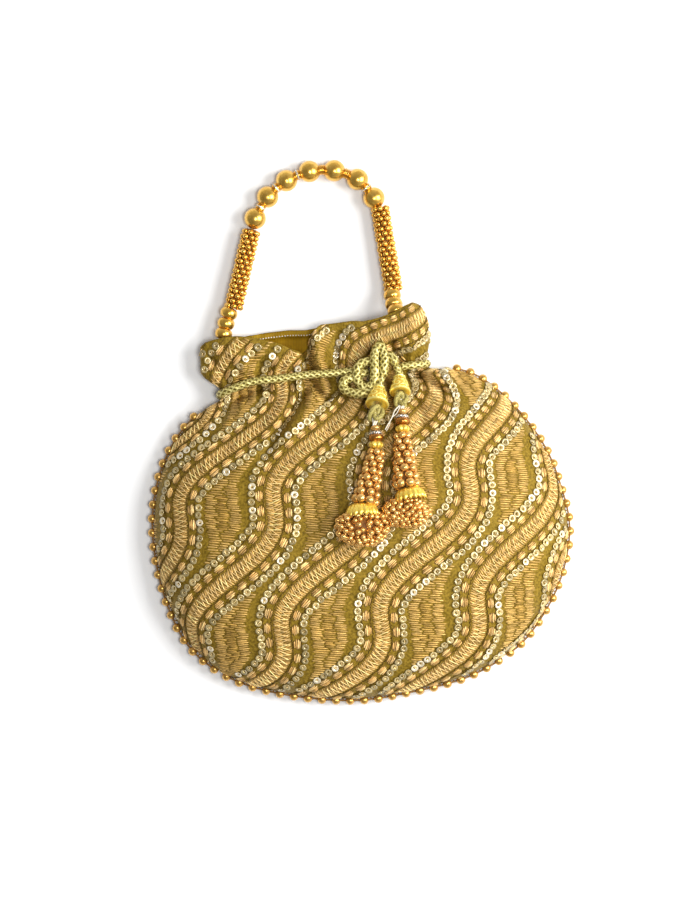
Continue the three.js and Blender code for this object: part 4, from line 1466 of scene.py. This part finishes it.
def shape_points(piece, change):
    count = len(piece.data.vertices)
    shape = np.zeros(count * 3)
    piece.data.vertices.foreach_get("co", shape)
    shape = shape.reshape(-1, 3) * 1000
    radius = np.hypot(shape[:, 0], shape[:, 1])
    angle = np.arctan2(shape[:, 1], shape[:, 0])
    radius, angle, height = change(radius, angle, shape[:, 2])
    shape = np.stack([radius * np.cos(angle), radius * np.sin(angle), height], axis=1) / 1000
    piece.data.vertices.foreach_set("co", shape.ravel())
    piece.data.update()


def filigree_cone(name, length, width):
    half = length / 2
    steps = np.linspace(0, 1, 56)
    bell = [
        (2.5 + (width / 2 - 2.5) * np.sin(t * np.pi / 2 * 0.98) ** 0.9, -half + t * length * 0.94)
        for t in steps
    ]
    brim = [(width / 2 - 0.1, half - 0.2), (width / 2 - 0.9, half), (1.4, half - 0.9)]
    profile = [(1.5, -half - 0.1)] + bell + brim + [(1.4, -half + 0.2), (1.5, -half - 0.1)]
    cone = turned(name, profile, 96)
    level = []

    def scrolls(radius, angle, height):
        nearest = np.full(radius.shape, 9.0)
        turn = np.zeros(radius.shape)
        for row in range(3):
            for k in range(5):
                at = 2 * np.pi * (k + 0.5 * (row % 2)) / 5
                across = (np.mod(angle - at + np.pi, 2 * np.pi) - np.pi) * radius
                up = height + half - 2.6 - row * 4.0
                far = np.hypot(across, up)
                turn = np.where(far < nearest, np.arctan2(up, across), turn)
                nearest = np.minimum(nearest, far)
        wire = np.cos(2 * np.pi * nearest / 2.2 + turn)
        share = (height + half) / length
        bands = np.exp(-(((share - 0.04) / 0.03) ** 2)) + np.exp(-(((share - 0.92) / 0.03) ** 2))
        wire = np.maximum(wire * (share < 0.88), 1.6 * bands)
        # Painted shade: the level kept for the colour is low in the grooves between wires and high on the
        # wires and bands.
        level.append(wire * 0.5 + 0.5)
        return radius + (radius > 1.9) * (0.4 * wire + 0.2 * bands), angle, height

    shape_points(cone, scrolls)
    painted_groove_tone = np.ones((len(level[0]), 4), np.float32)
    painted_groove_tone[:, :3] = np.clip(level[0], 0, 1)[:, None]
    cone.data.attributes.new("painted_groove_shade", "FLOAT_COLOR", "POINT").data.foreach_set("color", painted_groove_tone.ravel())
    return cone


def filigree_gold():
    n = Nodes("filigree_gold")
    coordinates = n.add("ShaderNodeTexCoord")
    wear = n.add("ShaderNodeTexNoise", Scale=1600.0, Detail=2.0)
    n.tree.links.new(coordinates.outputs["Object"], wear.inputs["Vector"])
    painted_groove_shade = n.add("ShaderNodeAttribute", attribute_name="painted_groove_shade")
    # Painted shade: this attribute darkens the colour in the hollows between the wires.
    shade = n.math("MULTIPLY_ADD", wear.outputs[0], 0.35, painted_groove_shade.outputs["Fac"])
    colour = n.ramp(
        shade,
        [
            (0.2, dyed(120, 66, 4)), (0.5, dyed(206, 150, 26)), (0.85, dyed(255, 222, 90)),
            (1.0, dyed(255, 238, 140)),
        ],
    )
    n.bump(wear.outputs[0], 0.4, 0.0002)
    return n.set(Base_Color=colour, Roughness=0.32, Metallic=0.6, Coat_Weight=0.3)


filigree = filigree_gold()
lime_twist = plain_thread("lime_twist", dyed(88, 76, 16), dyed(206, 190, 104), 0.1)
dark_copper = bead_gold(
    "dark_copper", dyed(140, 84, 20), dyed(176, 112, 34), dyed(214, 150, 60), 0.22, 0.85, 300.0
)


def cord_knot(name, length, width, turn):
    angle = np.linspace(0, 2 * np.pi, 90)
    around = 3 * angle + turn
    wide = width / 2 - 0.95
    path = np.stack(
        [
            wide * np.cos(2 * angle + turn) * (0.66 + 0.34 * np.cos(around)),
            wide * np.sin(2 * angle + turn) * (0.66 + 0.34 * np.cos(around)),
            (length / 2 - 0.95) * np.sin(around),
        ],
        axis=1,
    )
    return thread_tube(name, path, 2.5, 9, 220)


def star_bead(name, length, width):
    star = turned(name, bead_profile(width, length, 17, 0.2), 48)

    def flutes(radius, angle, height):
        return radius * (0.78 + 0.22 * np.abs(np.cos(3 * angle))), angle, height

    shape_points(star, flutes)
    return star


def fluted_cap(name, length, width):
    half = length / 2
    outer = [
        (2.0, -half), (width * 0.2, -half * 0.97), (width * 0.3, -half * 0.84),
        (width * 0.38, -half * 0.55), (width * 0.44, -half * 0.15), (width * 0.475, half * 0.35),
        (width * 0.5, half),
    ]
    inner = [(r - 0.7, h + (0.5 if k < 6 else 0)) for k, (r, h) in enumerate(outer)][::-1]
    cap = turned(name, outer + inner[:-1] + [(1.3, -half + 0.5), (2.0, -half)], 96)

    def flutes(radius, angle, height):
        share = np.clip((height + half) / length, 0, 1)
        wave = np.abs(np.cos(9 * angle)) ** 0.8
        rise = -2.2 * share**3 * (1 - wave)
        return radius * (1 - 0.15 * share**0.6 * (1 - wave)), angle, height + rise

    shape_points(cap, flutes)
    return cap


def bead_bunch(name, centre, half_size):
    places = []
    for count, reach in ((135, 1.0), (85, 0.78)):
        k = np.arange(count) + 0.5
        height = 1 - 2 * k / count
        turn = np.pi * (1 + 5**0.5) * k
        ring = np.sqrt(1 - height**2)
        way = np.stack([ring * np.cos(turn), ring * np.sin(turn), height], axis=1)
        way = way + 0.08 * thread_luck.uniform(-1, 1, (count, 3))
        way /= np.linalg.norm(way, axis=1)[:, None]
        depth = reach * (1 + 0.06 * thread_luck.uniform(-1, 1, (count, 1)))
        places.append(np.array(centre) + way * (np.array(half_size) - 1.6) * depth)
    places = np.concatenate(places)
    sizes = 1.66 + 0.2 * thread_luck.uniform(-1, 1, len(places))
    return strung_copies(name, seed_bead, places, places - centre + 0.3, sizes)


for side, parts in tassels.items():
    body = f"tassel_{side}"
    route = Route(parts["route"])

    def threaded(piece, distance):
        return seat(piece, route.at(distance), route.way(distance))

    at, length, width = parts["cone"]
    cone = threaded(filigree_cone(f"{body}_filigree", length, width), at)
    fix(cone, filigree, body, "cap_gold", f"{body}_cone")

    at, length, width = parts["knot"]
    knot = threaded(
        cord_knot(f"{body}_cord_knot", length + 1.4, width + 1.2, 0.4 if side == "left" else 1.3), at
    )
    fix(knot, lime_twist, body, "metallic_cord", f"{body}_thread_knot")

    wisps = []
    span = parts["ring"][0] - at
    for k in range(4):
        angle = 1.6 * k
        points = [
            (1.6 * math.cos(angle), 1.6 * math.sin(angle), 0.0),
            (1.5 * math.cos(angle + 0.9), 1.5 * math.sin(angle + 0.9), span * 0.35),
            (0.8 * math.cos(angle + 2.0), 0.8 * math.sin(angle + 2.0), span * 0.7),
            (0.7 * math.cos(angle + 2.6), 0.7 * math.sin(angle + 2.6), span - 0.6),
        ]
        wisps.append(thread_tube(f"wisp_{k}", points, 1.0, 6, 20))
    wisp = threaded(join_pieces(f"{body}_white_wisp", wisps), at)
    if side == "right":
        stray = [
            (21.2, 14.6, 39.5), (18.6, 11.8, 39.8), (17.2, 8.2, 39.2), (14.9, 4.2, 38.8),
            (13.3, 1.2, 38.9),
        ]
        other = [
            (21.6, 14.2, 39.2), (19.6, 10.2, 39.0), (16.6, 7.4, 38.6), (15.5, 3.4, 38.5),
            (13.9, 0.4, 38.2),
        ]
        loose = [thread_tube("loose_a", stray, 0.7, 6, 30), thread_tube("loose_b", other, 0.5, 6, 30)]
        wisp = join_pieces(f"{body}_white_wisp", [wisp] + loose)
    fix(wisp, white_thread, body, "thread")

    at, length, width = parts["ring"]
    small_bead = turned(f"{body}_small_bead", bead_profile(width, length, 13, 0.2), 24)
    fix(threaded(small_bead, at), copper_gold, body, "gold_ring", f"{body}_ring_bead")

    at, length, width = parts["rondelle"]
    setting_profile = [
        (0, -length / 2), (width / 2 - 0.5, -length / 2), (width / 2 - 0.1, -length / 4),
        (width / 2 - 0.5, 0), (width / 2 - 0.1, length / 4), (width / 2 - 0.5, length / 2),
        (0, length / 2),
    ]
    rim = turned(f"{body}_setting", setting_profile, 24)
    threaded(rim, at)
    fix(rim, silver, body, "silver", f"{body}_rondelle")
    stone_count = 10
    stone_turn = np.linspace(0, 2 * np.pi, stone_count + 1)[:-1]
    way = route.way(at)
    first = np.cross(way, (0.0, 0.0, 1.0))
    first /= np.linalg.norm(first)
    second = np.cross(way, first)
    outs = first * np.cos(stone_turn)[:, None] + second * np.sin(stone_turn)[:, None]
    stones = strung_copies(
        f"{body}_white_stones", seed_bead, route.at(at) + outs * (width / 2 - 0.45), outs,
        np.full(stone_count, 0.72),
    )
    stones.data.shade_flat()
    fix(stones, crystal, body, "crystal")

    at, length, width = parts["flat"]
    half = length / 2
    disc_profile = [
        (0, -half), (width / 2 - 0.7, -half), (width / 2 - 0.15, -half * 0.6), (width / 2, 0),
        (width / 2 - 0.15, half * 0.6), (width / 2 - 0.7, half), (0, half),
    ]
    disc = turned(f"{body}_flat_disc", disc_profile, 28)
    fix(threaded(disc, at), dark_copper, body, "gold_ring", f"{body}_flat_ring")

    at, length, width = parts["star"]
    star = threaded(star_bead(f"{body}_fluted_bead", length, width), at)
    fix(star, cap_gold, body, "cap_gold", f"{body}_star_bead")

    at, length, top_width, bottom_width = parts["tube"]
    place, way = route.at(at), route.way(at)
    beads = woven_beads(
        f"{body}_woven_beads", place, way, length + 2.4, (top_width + 1.0, bottom_width + 1.6),
        (4.1, 5.4), 0.02,
    )
    fix(beads, copper_gold, body, "seed_gold", f"{body}_bead_tube")
    half = length / 2 - 2.8
    core_profile = [
        (0, -half), (top_width / 2 - 2.4, -half), (bottom_width / 2 - 4.0, half), (0, half),
    ]
    core = turned(f"{body}_tube_core", core_profile, 14)
    fix(seat(core, place, way), core_thread, body, "thread")

    at, length, width = parts["cap"]
    cap = fluted_cap(f"{body}_scalloped_cap", length + 1.2, width + 1.0)
    seat(cap, route.at(at) - (0, 0, 1.2), parts["cap_way"])
    fix(cap, cap_gold, body, "cap_gold", f"{body}_fluted_cap")

    centre, half_size = parts["bunch"]
    bunch = bead_bunch(f"{body}_bead_bunch", centre, half_size)
    fix(bunch, copper_gold, body, "seed_gold", f"{body}_cluster")
    heart = turned(f"{body}_bunch_heart", bead_profile(2, 2, 13), 20)
    heart.data.transform(Matrix.Diagonal((*[h * 0.6 for h in half_size], 1)))
    heart.data.transform(Matrix.Translation(Vector(centre) / 1000))
    fix(heart, core_thread, body, "thread")
bpy.data.objects.remove(seed_bead)

# The cords inside the handle and the tassels show only between the beads, and the two ends of
# the handle's cord are sewn down inside the mouth. They keep their shape and get a plain gold thread
# material.
gold_thread = plain_thread("gold_thread", dyed(150, 116, 50), dyed(206, 172, 96))
kept_cords = [
    "handle_cord", "handle_anchor_left", "handle_anchor_right", "tassel_left_cord",
    "tassel_right_cord",
]
for name in kept_cords:
    cad_piece = bpy.data.objects[name]
    cad_piece.data.materials.clear()
    cad_piece.data.materials.append(gold_thread)
